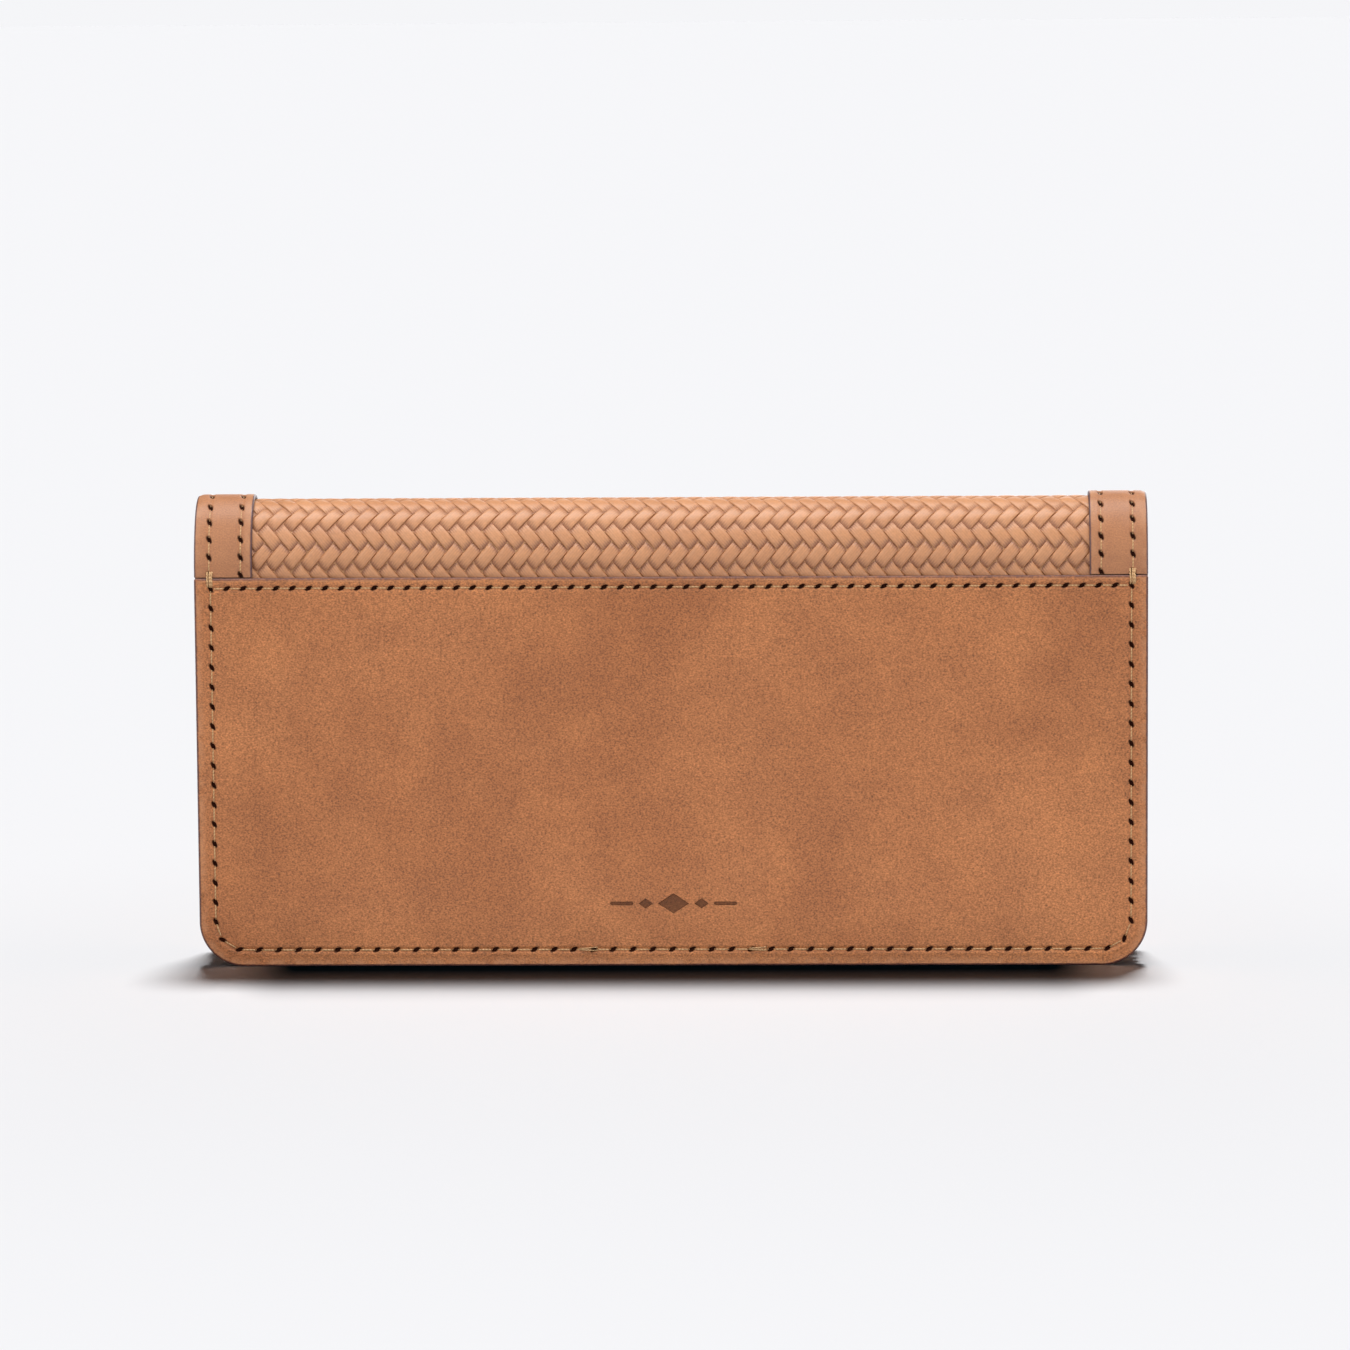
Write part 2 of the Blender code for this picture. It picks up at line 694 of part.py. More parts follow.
def moving_bodies():
    """Each moving body: its empty's name, the body it hangs on, the joint's point and its pieces."""
    bodies = []
    on = "wallet"
    for k, turn in enumerate(HINGE_TURNS):
        y, z = spine_point(turn, TRIM_GAP + TRIM_LEATHER)
        name = f"spine_fold_{k + 1}"
        pieces = [f"{layer[0]}_spine_{k + 1}" for layer in FOLD_LAYERS]
        bodies.append([name, on, (0, y, z), pieces])
        on = name
    bodies[-1][3] = [
        "woven_front",
        "flap_lining",
        "trim_left_front",
        "trim_right_front",
        "flap_band",
        "band_stiffener",
        "band_thread",
        "snap_cap",
        "snap_socket",
    ]
    front = [
        "front_panel",
        "front_panel_thread",
        "pocket_lining",
        "zip_thread",
        "zip_tape_upper",
        "zip_tape_lower",
        "zip_teeth_upper",
        "zip_teeth_lower",
        "zip_stop_left",
        "zip_stop_right",
        "snap_stud",
        "snap_post",
    ]
    pin = (SLIDER_X, PULL_DEPTH, ZIP_HEIGHT)
    bodies.append(["compartment_open", "wallet", (0, FRONT_FACE, 0), front])
    bodies.append(["zip_slide", "compartment_open", pin, ["zip_slider"]])
    bodies.append(["pull_swing", "zip_slide", pin, ["zip_pull"]])
    return bodies


def hang_on_joints():
    """Puts an empty on each joint's axis and hangs the moving pieces on it, where they are."""
    points = {"wallet": Vector((0, 0, 0))}
    for name, on, point, pieces in moving_bodies():
        points[name] = Vector(point)
        empty = bpy.data.objects.new(name, None)
        empty.empty_display_size = 10 * MM
        bpy.context.scene.collection.objects.link(empty)
        empty.parent = bpy.data.objects[on]
        empty.location = points[name] - points[on]
        for node in pieces:
            obj = bpy.data.objects[node]
            obj.data.transform(Matrix.Translation(-points[name]))
            obj.parent = empty


def main():
    clear_scene()
    wallet = bpy.data.objects.new("wallet", None)
    wallet.location = (0, CENTRING, 0)
    bpy.context.scene.collection.objects.link(wallet)
    fold_layers()
    round_lower_corners()
    back_section()
    flap_band()
    snap_fastener()
    front_section()
    zip_fastener()
    zip_slider()
    hang_on_joints()


main()
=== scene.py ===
import math

import bmesh
import bpy
import numpy as np
from mathutils import Matrix, Vector


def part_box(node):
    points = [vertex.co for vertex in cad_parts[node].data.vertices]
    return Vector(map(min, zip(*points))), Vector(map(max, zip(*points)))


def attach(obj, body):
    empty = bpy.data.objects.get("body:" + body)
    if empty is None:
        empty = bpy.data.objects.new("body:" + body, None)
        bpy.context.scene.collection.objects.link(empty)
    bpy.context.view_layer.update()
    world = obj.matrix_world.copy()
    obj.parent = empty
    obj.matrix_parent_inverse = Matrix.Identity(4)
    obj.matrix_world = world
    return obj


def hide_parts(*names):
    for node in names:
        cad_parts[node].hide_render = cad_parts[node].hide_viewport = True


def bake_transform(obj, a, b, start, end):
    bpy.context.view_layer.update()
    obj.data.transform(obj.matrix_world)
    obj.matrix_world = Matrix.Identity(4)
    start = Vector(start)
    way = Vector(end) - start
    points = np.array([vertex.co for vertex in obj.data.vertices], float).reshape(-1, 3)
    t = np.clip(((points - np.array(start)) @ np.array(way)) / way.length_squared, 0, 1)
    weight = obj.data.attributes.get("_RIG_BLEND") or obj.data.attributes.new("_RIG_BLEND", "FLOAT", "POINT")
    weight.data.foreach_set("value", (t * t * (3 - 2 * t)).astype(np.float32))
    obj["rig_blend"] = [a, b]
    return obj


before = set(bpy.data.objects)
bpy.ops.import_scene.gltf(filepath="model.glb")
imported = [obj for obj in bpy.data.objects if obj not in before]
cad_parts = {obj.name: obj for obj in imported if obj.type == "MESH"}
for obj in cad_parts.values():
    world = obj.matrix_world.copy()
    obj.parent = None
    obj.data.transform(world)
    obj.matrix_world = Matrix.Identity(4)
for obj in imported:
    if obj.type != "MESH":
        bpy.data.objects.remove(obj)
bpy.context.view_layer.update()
print("frame loaded,", len(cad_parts), "nodes")

mm = 0.001


# shader sums

class Wire:  # a node's socket that sums can be written with
    def __init__(self, graph, socket):
        self.graph = graph
        self.socket = socket

    def calc(self, kind, first, second=0.0):
        return self.graph.node("Math", {"operation": kind}, {0: first, 1: second})

    def __add__(self, other):
        return self.calc("ADD", self, other)

    def __radd__(self, other):
        return self.calc("ADD", other, self)

    def __sub__(self, other):
        return self.calc("SUBTRACT", self, other)

    def __rsub__(self, other):
        return self.calc("SUBTRACT", other, self)

    def __mul__(self, other):
        return self.calc("MULTIPLY", self, other)

    def __rmul__(self, other):
        return self.calc("MULTIPLY", other, self)

    def __pow__(self, other):
        return self.calc("POWER", self, other)

    def sine(self):
        return self.calc("SINE", self)

    def size(self):  # without its sign
        return self.calc("ABSOLUTE", self)

    def most(self, other):
        return self.calc("MAXIMUM", self, other)

    def between(self, low, high):  # 0 at low, 1 at high, soft at both
        return self.graph.node("MapRange", {"interpolation_type": "SMOOTHSTEP"},
                               {"Value": self, "From Min": low, "From Max": high})


class Graph:  # the nodes of one material
    def __init__(self, name):
        self.material = bpy.data.materials.new(name)
        self.material.use_nodes = True
        self.tree = self.material.node_tree
        self.tree.nodes.clear()

    def node(self, kind, settings=None, values=None, out=0):
        made = self.tree.nodes.new("ShaderNode" + kind)
        for key, value in (settings or {}).items():
            setattr(made, key, value)
        for key, value in (values or {}).items():
            socket = made.inputs[key]
            if isinstance(value, Wire):
                self.tree.links.new(value.socket, socket)
            else:
                socket.default_value = value
        return Wire(self, made.outputs[out]) if made.outputs else made

    def read(self, name, out="Fac"):
        return self.node("Attribute", {"attribute_name": name}, out=out)

    def place(self, stretch=(1, 1, 1)):  # the piece's own flat coordinates, in millimetres
        flat = self.read("flat", "Vector")
        return self.node("VectorMath", {"operation": "MULTIPLY"}, {0: flat, 1: [1000 * k for k in stretch]})

    def noise(self, where, scale, detail=2.0, rough=0.5, twist=0.0):
        return self.node("TexNoise", {}, {"Vector": where, "Scale": scale, "Detail": detail,
                                          "Roughness": rough, "Distortion": twist})

    def cells(self, where, scale):
        return self.node("TexVoronoi", {}, {"Vector": where, "Scale": scale}, out="Distance")

    def blend(self, share, first, second, way="MIX"):
        return self.node("Mix", {"data_type": "RGBA", "blend_type": way},
                         {0: share, 6: asColour(first), 7: asColour(second)}, out=2)

    def speckle(self, colour, grey):  # lightens or darkens a colour where the grey is off 0.5
        return self.blend(1.0, colour, self.node("CombineColor", {}, {0: grey, 1: grey, 2: grey}), "OVERLAY")

    def bump(self, height, depth, below=None):
        values = {"Height": height, "Distance": depth, "Strength": 1.0}
        if below:
            values["Normal"] = below
        return self.node("Bump", {}, values)

    def finish(self, colour, rough, normal=None, metallic=0.0, fixed=None, pits=None):
        # pits: share and colour of painted shade for places too deep to shine: a dull dark surface with no shine
        # is mixed in
        values = {"Base Color": asColour(colour), "Roughness": rough, "Metallic": metallic}
        values.update(fixed or {})
        if normal:
            values["Normal"] = normal
        shader = self.node("BsdfPrincipled", {}, values)
        if pits:
            dull = self.node("BsdfPrincipled", {}, {"Base Color": asColour(pits[1]), "Roughness": 1.0,
                                                    "Specular IOR Level": 0.0})
            shader = self.node("MixShader", {}, {0: pits[0], 1: shader, 2: dull})
        self.node("OutputMaterial", {}, {"Surface": shader})
        return self.material


def asColour(value):
    if isinstance(value, Wire) or len(value) == 4:
        return value
    return (*value, 1)


# leathers

# hole: a near-black colour painted into stitch holes as shade; pressed marks take it as their stain
panelLook = {
    "name": "tanPanelLeather",
    "pale": (0.430, 0.163, 0.056), "deep": (0.300, 0.101, 0.031), "burnt": (0.085, 0.030, 0.026),
    "hole": (0.026, 0.008, 0.005), "rub": (0.49, 0.22, 0.10),
    "cloud": 0.018, "grain": 3.1, "grainDepth": 0.08, "rough": 0.60, "speckle": 1.15,
}
trimLook = {
    "name": "tanTrimLeather",
    "pale": (0.358, 0.143, 0.052), "deep": (0.300, 0.110, 0.038), "burnt": (0.075, 0.026, 0.026),
    "hole": (0.028, 0.009, 0.006), "rub": (0.43, 0.20, 0.09), "gloss": 0.55,
    "cloud": 0.05, "grain": 3.4, "grainDepth": 0.04, "rough": 0.52, "speckle": 0.5,
}
cardLook = {
    "name": "tanCardLeather",
    "pale": (0.50, 0.225, 0.105), "deep": (0.41, 0.165, 0.070), "burnt": (0.11, 0.045, 0.03),
    "hole": (0.02, 0.01, 0.006), "rub": (0.55, 0.28, 0.14),
    "cloud": 0.05, "grain": 2.2, "grainDepth": 0.02, "rough": 0.5, "speckle": 0.15,
}
liningLook = {
    "name": "suedeLining",
    "pale": (0.46, 0.245, 0.125), "deep": (0.36, 0.175, 0.085), "burnt": (0.22, 0.10, 0.05),
    "hole": (0.03, 0.015, 0.01), "rub": (0.5, 0.3, 0.17),
    "cloud": 0.08, "grain": 4.5, "grainDepth": 0.03, "rough": 0.86, "speckle": 0.35,
}


def leather(look):
    g = Graph(look["name"])
    place = g.place()
    cloud = g.noise(place, look["cloud"], 3.0, 0.55, 0.6)
    patch = g.noise(place, look["cloud"] * 4.5, 4.0, 0.6, 0.3)
    nap = g.noise(g.place((0.8, 1, 1)), look["grain"], 2.0, 0.6)
    pores = g.cells(place, look["grain"] * 1.3)
    tone = (cloud * 1.3 + patch * 0.6 - 0.45).between(0.08, 0.92)
    colour = g.blend(tone, look["deep"], look["pale"])
    speck = (nap - 0.5) * look["speckle"] + (patch - 0.5) * 0.10 + 0.5
    colour = g.speckle(colour, speck)
    rub = g.read("rub") * g.noise(place, 0.6, 2.0).between(0.25, 0.7)
    colour = g.blend(rub, colour, look["rub"])
    edge = g.read("edge")
    edgeWearAndStrandShade = edge + (g.noise(place, 1.1, 3.0) - 0.5) * 0.5 * edge.between(0.0, 0.3)
    colour = g.blend(edgeWearAndStrandShade.between(0.3, 0.9), colour, look["burnt"])
    # painted shade: stitch holes are coloured near black by the hole attribute, which also carries the stain of
    # pressed marks
    hole = g.read("hole")
    colour = g.blend(hole, colour, look["hole"])
    rough = look["rough"] + (patch - 0.5) * 0.2 + (nap - 0.5) * 0.12 - edge * 0.18
    wave = g.bump(g.noise(place, 0.07, 2.0), 0.5 * mm)
    grain = g.bump(nap * 0.8 + pores * 0.35, look["grainDepth"] * mm, wave)
    fixed = {"Specular IOR Level": look.get("gloss", 0.35), "Sheen Weight": 0.05, "Sheen Roughness": 0.6}
    return g.finish(colour, rough, grain, fixed=fixed, pits=(hole, look["hole"]))


# groove is a painted shade colour, used with the Shade shares in the gaps between floats, at their diving ends
# and along the strand lines
wovenLook = {
    "pale": (0.500, 0.226, 0.094), "deep": (0.425, 0.180, 0.071), "groove": (0.18, 0.066, 0.036),
    "rough": 0.47, "gloss": 0.65, "strands": 5.5, "strandDepth": 0.045, "grainDepth": 0.018,
    "strandShade": 0.50, "sideShade": 0.42, "endShade": 0.7, "calming": 0.6,
}


def wovenLeather(look):
    g = Graph("wovenTanLeather")
    place = g.place()
    along, across = g.read("along"), g.read("across")  # -1 to 1 on each strip
    tone = (g.noise(place, 0.05, 3.0, 0.6) * 1.2 + g.read("strip") * 0.25 - 0.25).between(0.1, 0.9)
    colour = g.blend(tone, look["deep"], look["pale"])
    ends = along.size().between(0.3, 1.0)
    sides = across.size().between(0.86, 1.03)
    nap = g.noise(place, 1.6, 3.0, 0.65)
    speck = (nap.between(0.3, 0.7) - 0.5) * 0.08 + 0.5
    colour = g.speckle(colour, speck)
    lines = (across * (look["strands"] * 3.14) + g.noise(place, 0.9, 1.0) * 2.0).sine() * 0.5 + 0.5
    # painted shade along the strand lines, stronger toward the float ends
    edgeWearAndStrandShade = lines * (ends * 0.7 + 0.3)
    lively = 1.0 - g.read("calm") * look["calming"]  # less painted shade in the gaps and strand lines where the leather is pressed over the ridge
    colour = g.blend(edgeWearAndStrandShade * look["strandShade"] * lively, colour, look["groove"])
    # painted shade: floats darken toward their sides and toward the ends that dive under their neighbours
    dark = (sides * look["sideShade"]).most(ends ** 3.5 * look["endShade"])
    colour = g.blend(dark * lively, colour, look["groove"])
    rough = look["rough"] + (nap - 0.5) * 0.15 + ends * 0.08
    strand = g.bump(1.0 - lines * ends, look["strandDepth"] * mm)
    grain = g.bump(nap * 0.6 + g.cells(place, 2.4) * 0.4, look["grainDepth"] * mm, strand)
    return g.finish(colour, rough, grain, fixed={"Specular IOR Level": look["gloss"]})


threadLook = {"pale": (0.60, 0.37, 0.18), "deep": (0.33, 0.175, 0.07), "rough": 0.6, "twists": 9.0}


def waxedThread(look):
    g = Graph("waxedThread")
    place = g.place()
    twist = (g.read("along") * look["twists"] + g.read("across") * 6.28).sine() * 0.5 + 0.5
    colour = g.blend(twist * 0.6 + g.noise(place, 0.5, 2.0) * 0.4, look["deep"], look["pale"])
    return g.finish(colour, look["rough"], g.bump(twist, 0.05 * mm), fixed={"Specular IOR Level": 0.4})


tapeLook = {"weft": (0.13, 0.06, 0.03), "rib": (0.26, 0.135, 0.07)}


def zipTape(look):
    g = Graph("zipTapeFabric")
    place = g.place()
    ribs = g.node("TexWave", {"bands_direction": "X"}, {"Vector": place, "Scale": 0.7, "Distortion": 0.4})
    weft = g.node("TexWave", {"bands_direction": "Z"}, {"Vector": place, "Scale": 0.9, "Distortion": 0.3})
    colour = g.blend(ribs * weft, look["weft"], look["rib"])
    return g.finish(colour, 0.88, g.bump(ribs * 0.6 + weft * 0.4, 0.08 * mm))


boardLook = {"deep": (0.22, 0.15, 0.10), "pale": (0.42, 0.33, 0.24)}


def fibreBoard(look):
    g = Graph("fibreBoard")
    flecks = g.noise(g.place(), 1.2, 5.0, 0.7)
    colour = g.blend(flecks, look["deep"], look["pale"])
    return g.finish(colour, 0.92, g.bump(flecks, 0.05 * mm))


brassLook = {"bright": (0.66, 0.49, 0.26), "dull": (0.47, 0.33, 0.16), "rough": 0.30}


def agedBrass(look):
    g = Graph("agedBrass")
    stain = g.noise(g.place(), 0.35, 5.0, 0.6)
    brush = g.noise(g.place((0.3, 1, 4)), 2.5, 3.0, 0.6)
    colour = g.blend(stain.between(0.3, 0.58), look["dull"], look["bright"])
    rough = look["rough"] + (stain - 0.5) * 0.35 + (brush - 0.5) * 0.12
    return g.finish(colour, rough, g.bump(brush, 0.008 * mm), 1.0)


paints = {  # the material its pieces take, and a slot name that nothing here uses
    "panel": (leather(panelLook), "back_leather"),
    "trim": (leather(trimLook), "trim_leather"),
    "card": (leather(cardLook), "card_leather"),
    "lining": (leather(liningLook), "lining_leather"),
    "woven": (wovenLeather(wovenLook), "woven_leather"),
    "thread": (waxedThread(threadLook), "thread"),
    "tape": (zipTape(tapeLook), "zip_tape"),
    "board": (fibreBoard(boardLook), "stiffener_board"),
    "brass": (agedBrass(brassLook), "brass"),
}
print("materials ready")


# mesh tools

class Skin:  # collects points, faces and per-point values of one mesh
    def __init__(self):
        self.points, self.faces = [], []
        self.marks = {}
        self.count = 0

    def add(self, points, faces, **marks):
        points = np.asarray(points, float).reshape(-1, 3)
        base = self.count
        self.points.append(points)
        self.faces += [tuple(base + i for i in f) for f in faces]
        for key, value in marks.items():
            value = np.asarray(value, float)
            wide = value.ndim and value.shape[-1] == 3 and key == "flat"
            value = value.reshape(-1, 3) if wide else np.broadcast_to(value, (len(points),))
            self.marks.setdefault(key, []).append((base, value))
        self.count += len(points)
        return base

    def build(self, name, paint, smooth=True):
        points = np.concatenate(self.points)
        mesh = bpy.data.meshes.new(name)
        mesh.from_pydata(points.tolist(), [], self.faces)
        if "flat" not in self.marks:
            self.marks["flat"] = [(0, points)]
        for key, runs in self.marks.items():
            wide = key == "flat"
            whole = np.zeros((self.count, 3) if wide else self.count, np.float32)
            for base, value in runs:
                whole[base:base + len(value)] = value
            layer = mesh.attributes.new(key, "FLOAT_VECTOR" if wide else "FLOAT", "POINT")
            layer.data.foreach_set("vector" if wide else "value", whole.ravel())
        material, slot = paints[paint]
        mesh.materials.append(material)
        mesh.polygons.foreach_set("use_smooth", [smooth] * len(mesh.polygons))
        mesh.update()
        made = bpy.data.objects.new(name, mesh)
        bpy.context.scene.collection.objects.link(made)
        return made


def gridFaces(rows, columns, flip=False, wrap=False):
    faces = []
    for r in range(rows - 1):
        for c in range(columns if wrap else columns - 1):
            d = (c + 1) % columns
            face = (r * columns + c, r * columns + d, (r + 1) * columns + d, (r + 1) * columns + c)
            faces.append(face[::-1] if flip else face)
    return faces


def tubeFaces(rings, sides):
    ends = [tuple(range(sides))[::-1], tuple((rings - 1) * sides + j for j in range(sides))]
    return gridFaces(rings, sides, wrap=True) + ends


def rimFaces(rows, columns, flip=False):
    # joins the rims of two grids of points that lie one behind the other
    rim = list(range(columns)) + [r * columns + columns - 1 for r in range(1, rows)]
    rim += [(rows - 1) * columns + c for c in range(columns - 2, -1, -1)]
    rim += [r * columns for r in range(rows - 2, 0, -1)]
    size = rows * columns
    faces = [(a, b, b + size, a + size) for a, b in zip(rim, rim[1:] + rim[:1])]
    return [face[::-1] for face in faces] if flip else faces


def camel(node):
    first, *rest = node.split("_")
    return first + "".join(word.title() for word in rest)


def smoothStep(x, low, high):
    t = np.clip((np.asarray(x, float) - low) / (high - low), 0, 1)
    return t * t * (3 - 2 * t)


def sharpen(made, degrees=40):
    made.data.set_sharp_from_angle(angle=math.radians(degrees))
    return made


# panels with rounded outlines, seen along Y

leastRadius = 0.04 * mm
quarterTurn = math.pi / 2


def outlineRing(plan, inset, topInset):
    # anticlockwise from the top left: down, corner, along, corner, up, corner, back along the top
    x0, x1 = plan["x"][0] + inset, plan["x"][1] - inset
    z0, z1 = plan["z"][0] + inset, plan["z"][1] - topInset
    low = max(plan["lowR"] - inset, leastRadius)
    top = max(plan["topR"] - max(inset, topInset), leastRadius)
    step = plan["step"]
    full = plan["x"][1] - plan["x"][0] - 2 * max(plan["lowR"], plan["topR"])
    tall = plan["z"][1] - plan["z"][0] - plan["lowR"] - plan["topR"]
    nAcross, nUp = max(2, round(full / step)), max(2, round(tall / step))
    nLow = max(5, round(plan["lowR"] * quarterTurn / step))
    nTop = max(4, round(plan["topR"] * quarterTurn / step))

    def line(a, b, n):
        t = np.arange(n)[:, None] / n
        return np.array(a) * (1 - t) + np.array(b) * t

    def corner(cx, cz, r, start, n):
        a = np.radians(start + 90 * np.arange(n) / n)
        return np.stack([cx + r * np.cos(a), cz + r * np.sin(a)], 1)

    runs = [
        line((x0, z1 - top), (x0, z0 + low), nUp), corner(x0 + low, z0 + low, low, 180, nLow),
        line((x0 + low, z0), (x1 - low, z0), nAcross), corner(x1 - low, z0 + low, low, 270, nLow),
        line((x1, z0 + low), (x1, z1 - top), nUp), corner(x1 - top, z1 - top, top, 0, nTop),
        line((x1 - top, z1), (x0 + top, z1), nAcross), corner(x0 + top, z1 - top, top, 90, nTop),
    ]
    ends = np.cumsum([len(r) for r in runs])
    return np.concatenate(runs), ends


def stitchMarks(points, breaks, pitches):
    # how far along its seam each point of a ring is, in stitches, whole numbers at the holes
    along = np.zeros(len(points))
    closed = np.concatenate([points, points[:1]])
    steps = np.linalg.norm(np.diff(closed, axis=0), axis=1)
    total = 0.0
    start = 0
    for end, pitch in zip(breaks, pitches):
        length = steps[start:end].sum()
        count = max(1, round(length / pitch))
        run = np.concatenate([[0], np.cumsum(steps[start:end])])[:-1]
        along[start:end] = total + run / length * count
        total += count
        start = end
    return along, int(total)


def holeShape(near, across, look):
    # 1 in a stitch hole, 0 outside; both distances in metres from the hole's middle
    tilt = math.radians(look["tilt"])
    u = near * math.cos(tilt) + across * math.sin(tilt)
    v = -near * math.sin(tilt) + across * math.cos(tilt)
    reach = np.sqrt((u / (look["holeLong"] / 2)) ** 2 + (v / (look["holeWide"] / 2)) ** 2)
    return 1 - smoothStep(reach, 0.65, 1.25)


seamLook = {
    "holeLong": 1.62 * mm, "holeWide": 0.80 * mm, "holeDepth": 0.50 * mm, "tilt": 27,
    "channel": 0.42 * mm, "channelDepth": 0.12 * mm, "swell": 0.04 * mm,
    "thread": 0.14 * mm, "lie": -0.07 * mm, "clear": 0.50 * mm, "flatten": 0.15, "taper": 0.28,
}


def inChannel(off):  # 1 on the line of a seam, 0 beside its channel
    return 1 - smoothStep(np.abs(off), seamLook["channel"] * 0.4, seamLook["channel"] * 1.6)


def threadRun(skin, points, out, stitches, sides=6, bends=7):
    # points: places of the holes; out: the outward direction at each
    look = seamLook
    for k in range(stitches):
        a, b = np.array(points[k]), np.array(points[(k + 1) % len(points)])
        n = np.array(out[k]) + np.array(out[(k + 1) % len(points)])
        n = n / np.linalg.norm(n)
        run = b - a
        length = np.linalg.norm(run)
        if length < 0.2 * mm:
            continue
        run = run / length
        a, length = a + run * look["clear"], length - 2 * look["clear"]  # the thread shows between the holes
        side = np.cross(run, n)
        rings, alongs, acrosses = [], [], []
        for i in range(bends):
            t = i / (bends - 1)
            dip = look["lie"] - look["holeDepth"] * 0.6 * (1 - math.sin(math.pi * t)) ** 3
            centre = a + run * length * t + n * dip
            thin = look["thread"] * (1 - look["taper"] * (1 - math.sin(math.pi * t)))
            wide, high = thin * (1 + look["flatten"]), thin * (1 - look["flatten"])
            for j in range(sides):
                angle = 2 * math.pi * j / sides
                rings.append(centre + side * math.cos(angle) * wide + n * math.sin(angle) * high)
                alongs.append((k + t) * length * 1000)
                acrosses.append(j / sides)
        skin.add(rings, tubeFaces(bends, sides), along=alongs, across=acrosses)


def holePlaces(points, along, count):
    # points of a ring where its stitch count passes a whole number
    order = np.arange(count)
    far = np.concatenate([along, [count]])
    closed = np.concatenate([points, points[:1]])
    return np.stack([np.interp(order, far, closed[:, k]) for k in range(closed.shape[1])], 1)


def edgeRings(thick, r, way=1):
    # inset, depth and burnish of the rings from the far side, round the cut edge, to the face
    turns = [(k / 4, k / 4 * quarterTurn) for k in range(5)]
    rings = [(r * (1 - math.sin(a)), thick - r * (1 - math.cos(a)), 1.0) for t, a in turns]
    rings += [(r * (1 - math.cos(a)), r * (1 - math.sin(a)), 1 - 0.3 * t) for t, a in turns]
    rings += [(r + 0.12 * mm, 0, 0.3), (r + 0.5 * mm, 0, 0.04)]
    return [(way * inset, depth, burn) for inset, depth, burn in rings]


seamSide = (0.12, 0.24, 0.36, 0.5, 0.68, 0.95, 1.3)  # rings beside a seam, in millimetres from it
seamOffsets = (*[-off for off in seamSide[::-1]], 0, *seamSide)
creaseSteps = ((-0.5, 0), (-0.25, 0.03), (0, 0.09), (0.25, 0.03), (0.5, 0))  # millimetres off and deep


def addZone(skin, plan, seam, outward):
    # rings from the far side's edge to the face and on past the seam; returns the first and last ring
    face, way = plan["face"], 1 if plan["back"] > plan["face"] else -1
    thick = abs(plan["back"] - face)
    sense = -1 if outward else 1
    roundness = min(plan.get("round", 0.3 * mm), thick * 0.45)
    rings = [(inset, inset, depth, burn, None) for inset, depth, burn in edgeRings(thick, roundness, sense)]
    found = None
    if seam and "pitch" in seam:
        for off in seamOffsets:
            shift = off * mm
            rings.append((sense * (seam["inset"] + shift), sense * (seam["topInset"] + shift), 0, 0.0, shift))
        line, ends = outlineRing(plan, sense * seam["inset"], sense * seam["topInset"])
        breaks = [ends[4], ends[7]] if seam.get("pitchTop") else [ends[7]]
        along, count = stitchMarks(line, breaks, [seam["pitch"], seam.get("pitchTop")][:len(breaks)])
        found = (line, along, count)
        ways = np.roll(line, -1, 0) - np.roll(line, 1, 0)
        nearest = np.round(along).astype(int) % count
        holeAt = holePlaces(line, along, count)[nearest]
        holeWay = holePlaces(ways, along, count)[nearest]
        holeWay /= np.linalg.norm(holeWay, axis=1)[:, None]
    elif seam:  # a creased line and no stitches
        for off, deep in creaseSteps:
            inset = sense * (seam["inset"] + off * mm)
            rings.append((inset, inset, deep * mm, 0.28 if off == 0 else 0.0, None))
    points, edges, holes, rubs = [], [], [], []
    for inset, topInset, depth, burn, off in rings:
        ring, _ = outlineRing(plan, inset, topInset)
        deep = np.full(len(ring), float(depth))
        hole = np.zeros(len(ring))
        if off is not None:
            apart = ring - holeAt
            near, across = (apart * holeWay).sum(1), apart[:, 1] * holeWay[:, 0] - apart[:, 0] * holeWay[:, 1]
            hole = holeShape(near, across, seamLook)
            swell = math.exp(-((abs(off) - 0.85 * mm) / (0.35 * mm)) ** 2) * seamLook["swell"]
            deep = deep + seamLook["channelDepth"] * inChannel(off) + hole * seamLook["holeDepth"] - swell
        points.append(np.stack([ring[:, 0], face + way * deep, ring[:, 1]], 1))
        high = ring[:, 1] > plan["z"][1] - 0.5 * mm
        edges.append(np.where(high & (not outward), burn * plan.get("topBurn", 1.0), burn))
        # hole share: where the leather material paints shade into the stitch holes
        holes.append(smoothStep(hole, 0.15, 0.75))
        rubs.append(np.full(len(ring), 0.6 if 0.02 < burn < 0.5 else 0.0))
    columns = len(points[0])
    faces = gridFaces(len(rings), columns, flip=(way < 0) != outward, wrap=True)
    base = skin.add(np.concatenate(points), faces, edge=np.concatenate(edges), hole=np.concatenate(holes),
                    rub=np.concatenate(rubs))
    first = [base + c for c in range(columns)]
    last = [base + (len(rings) - 1) * columns + c for c in range(columns)]
    return first, last, found


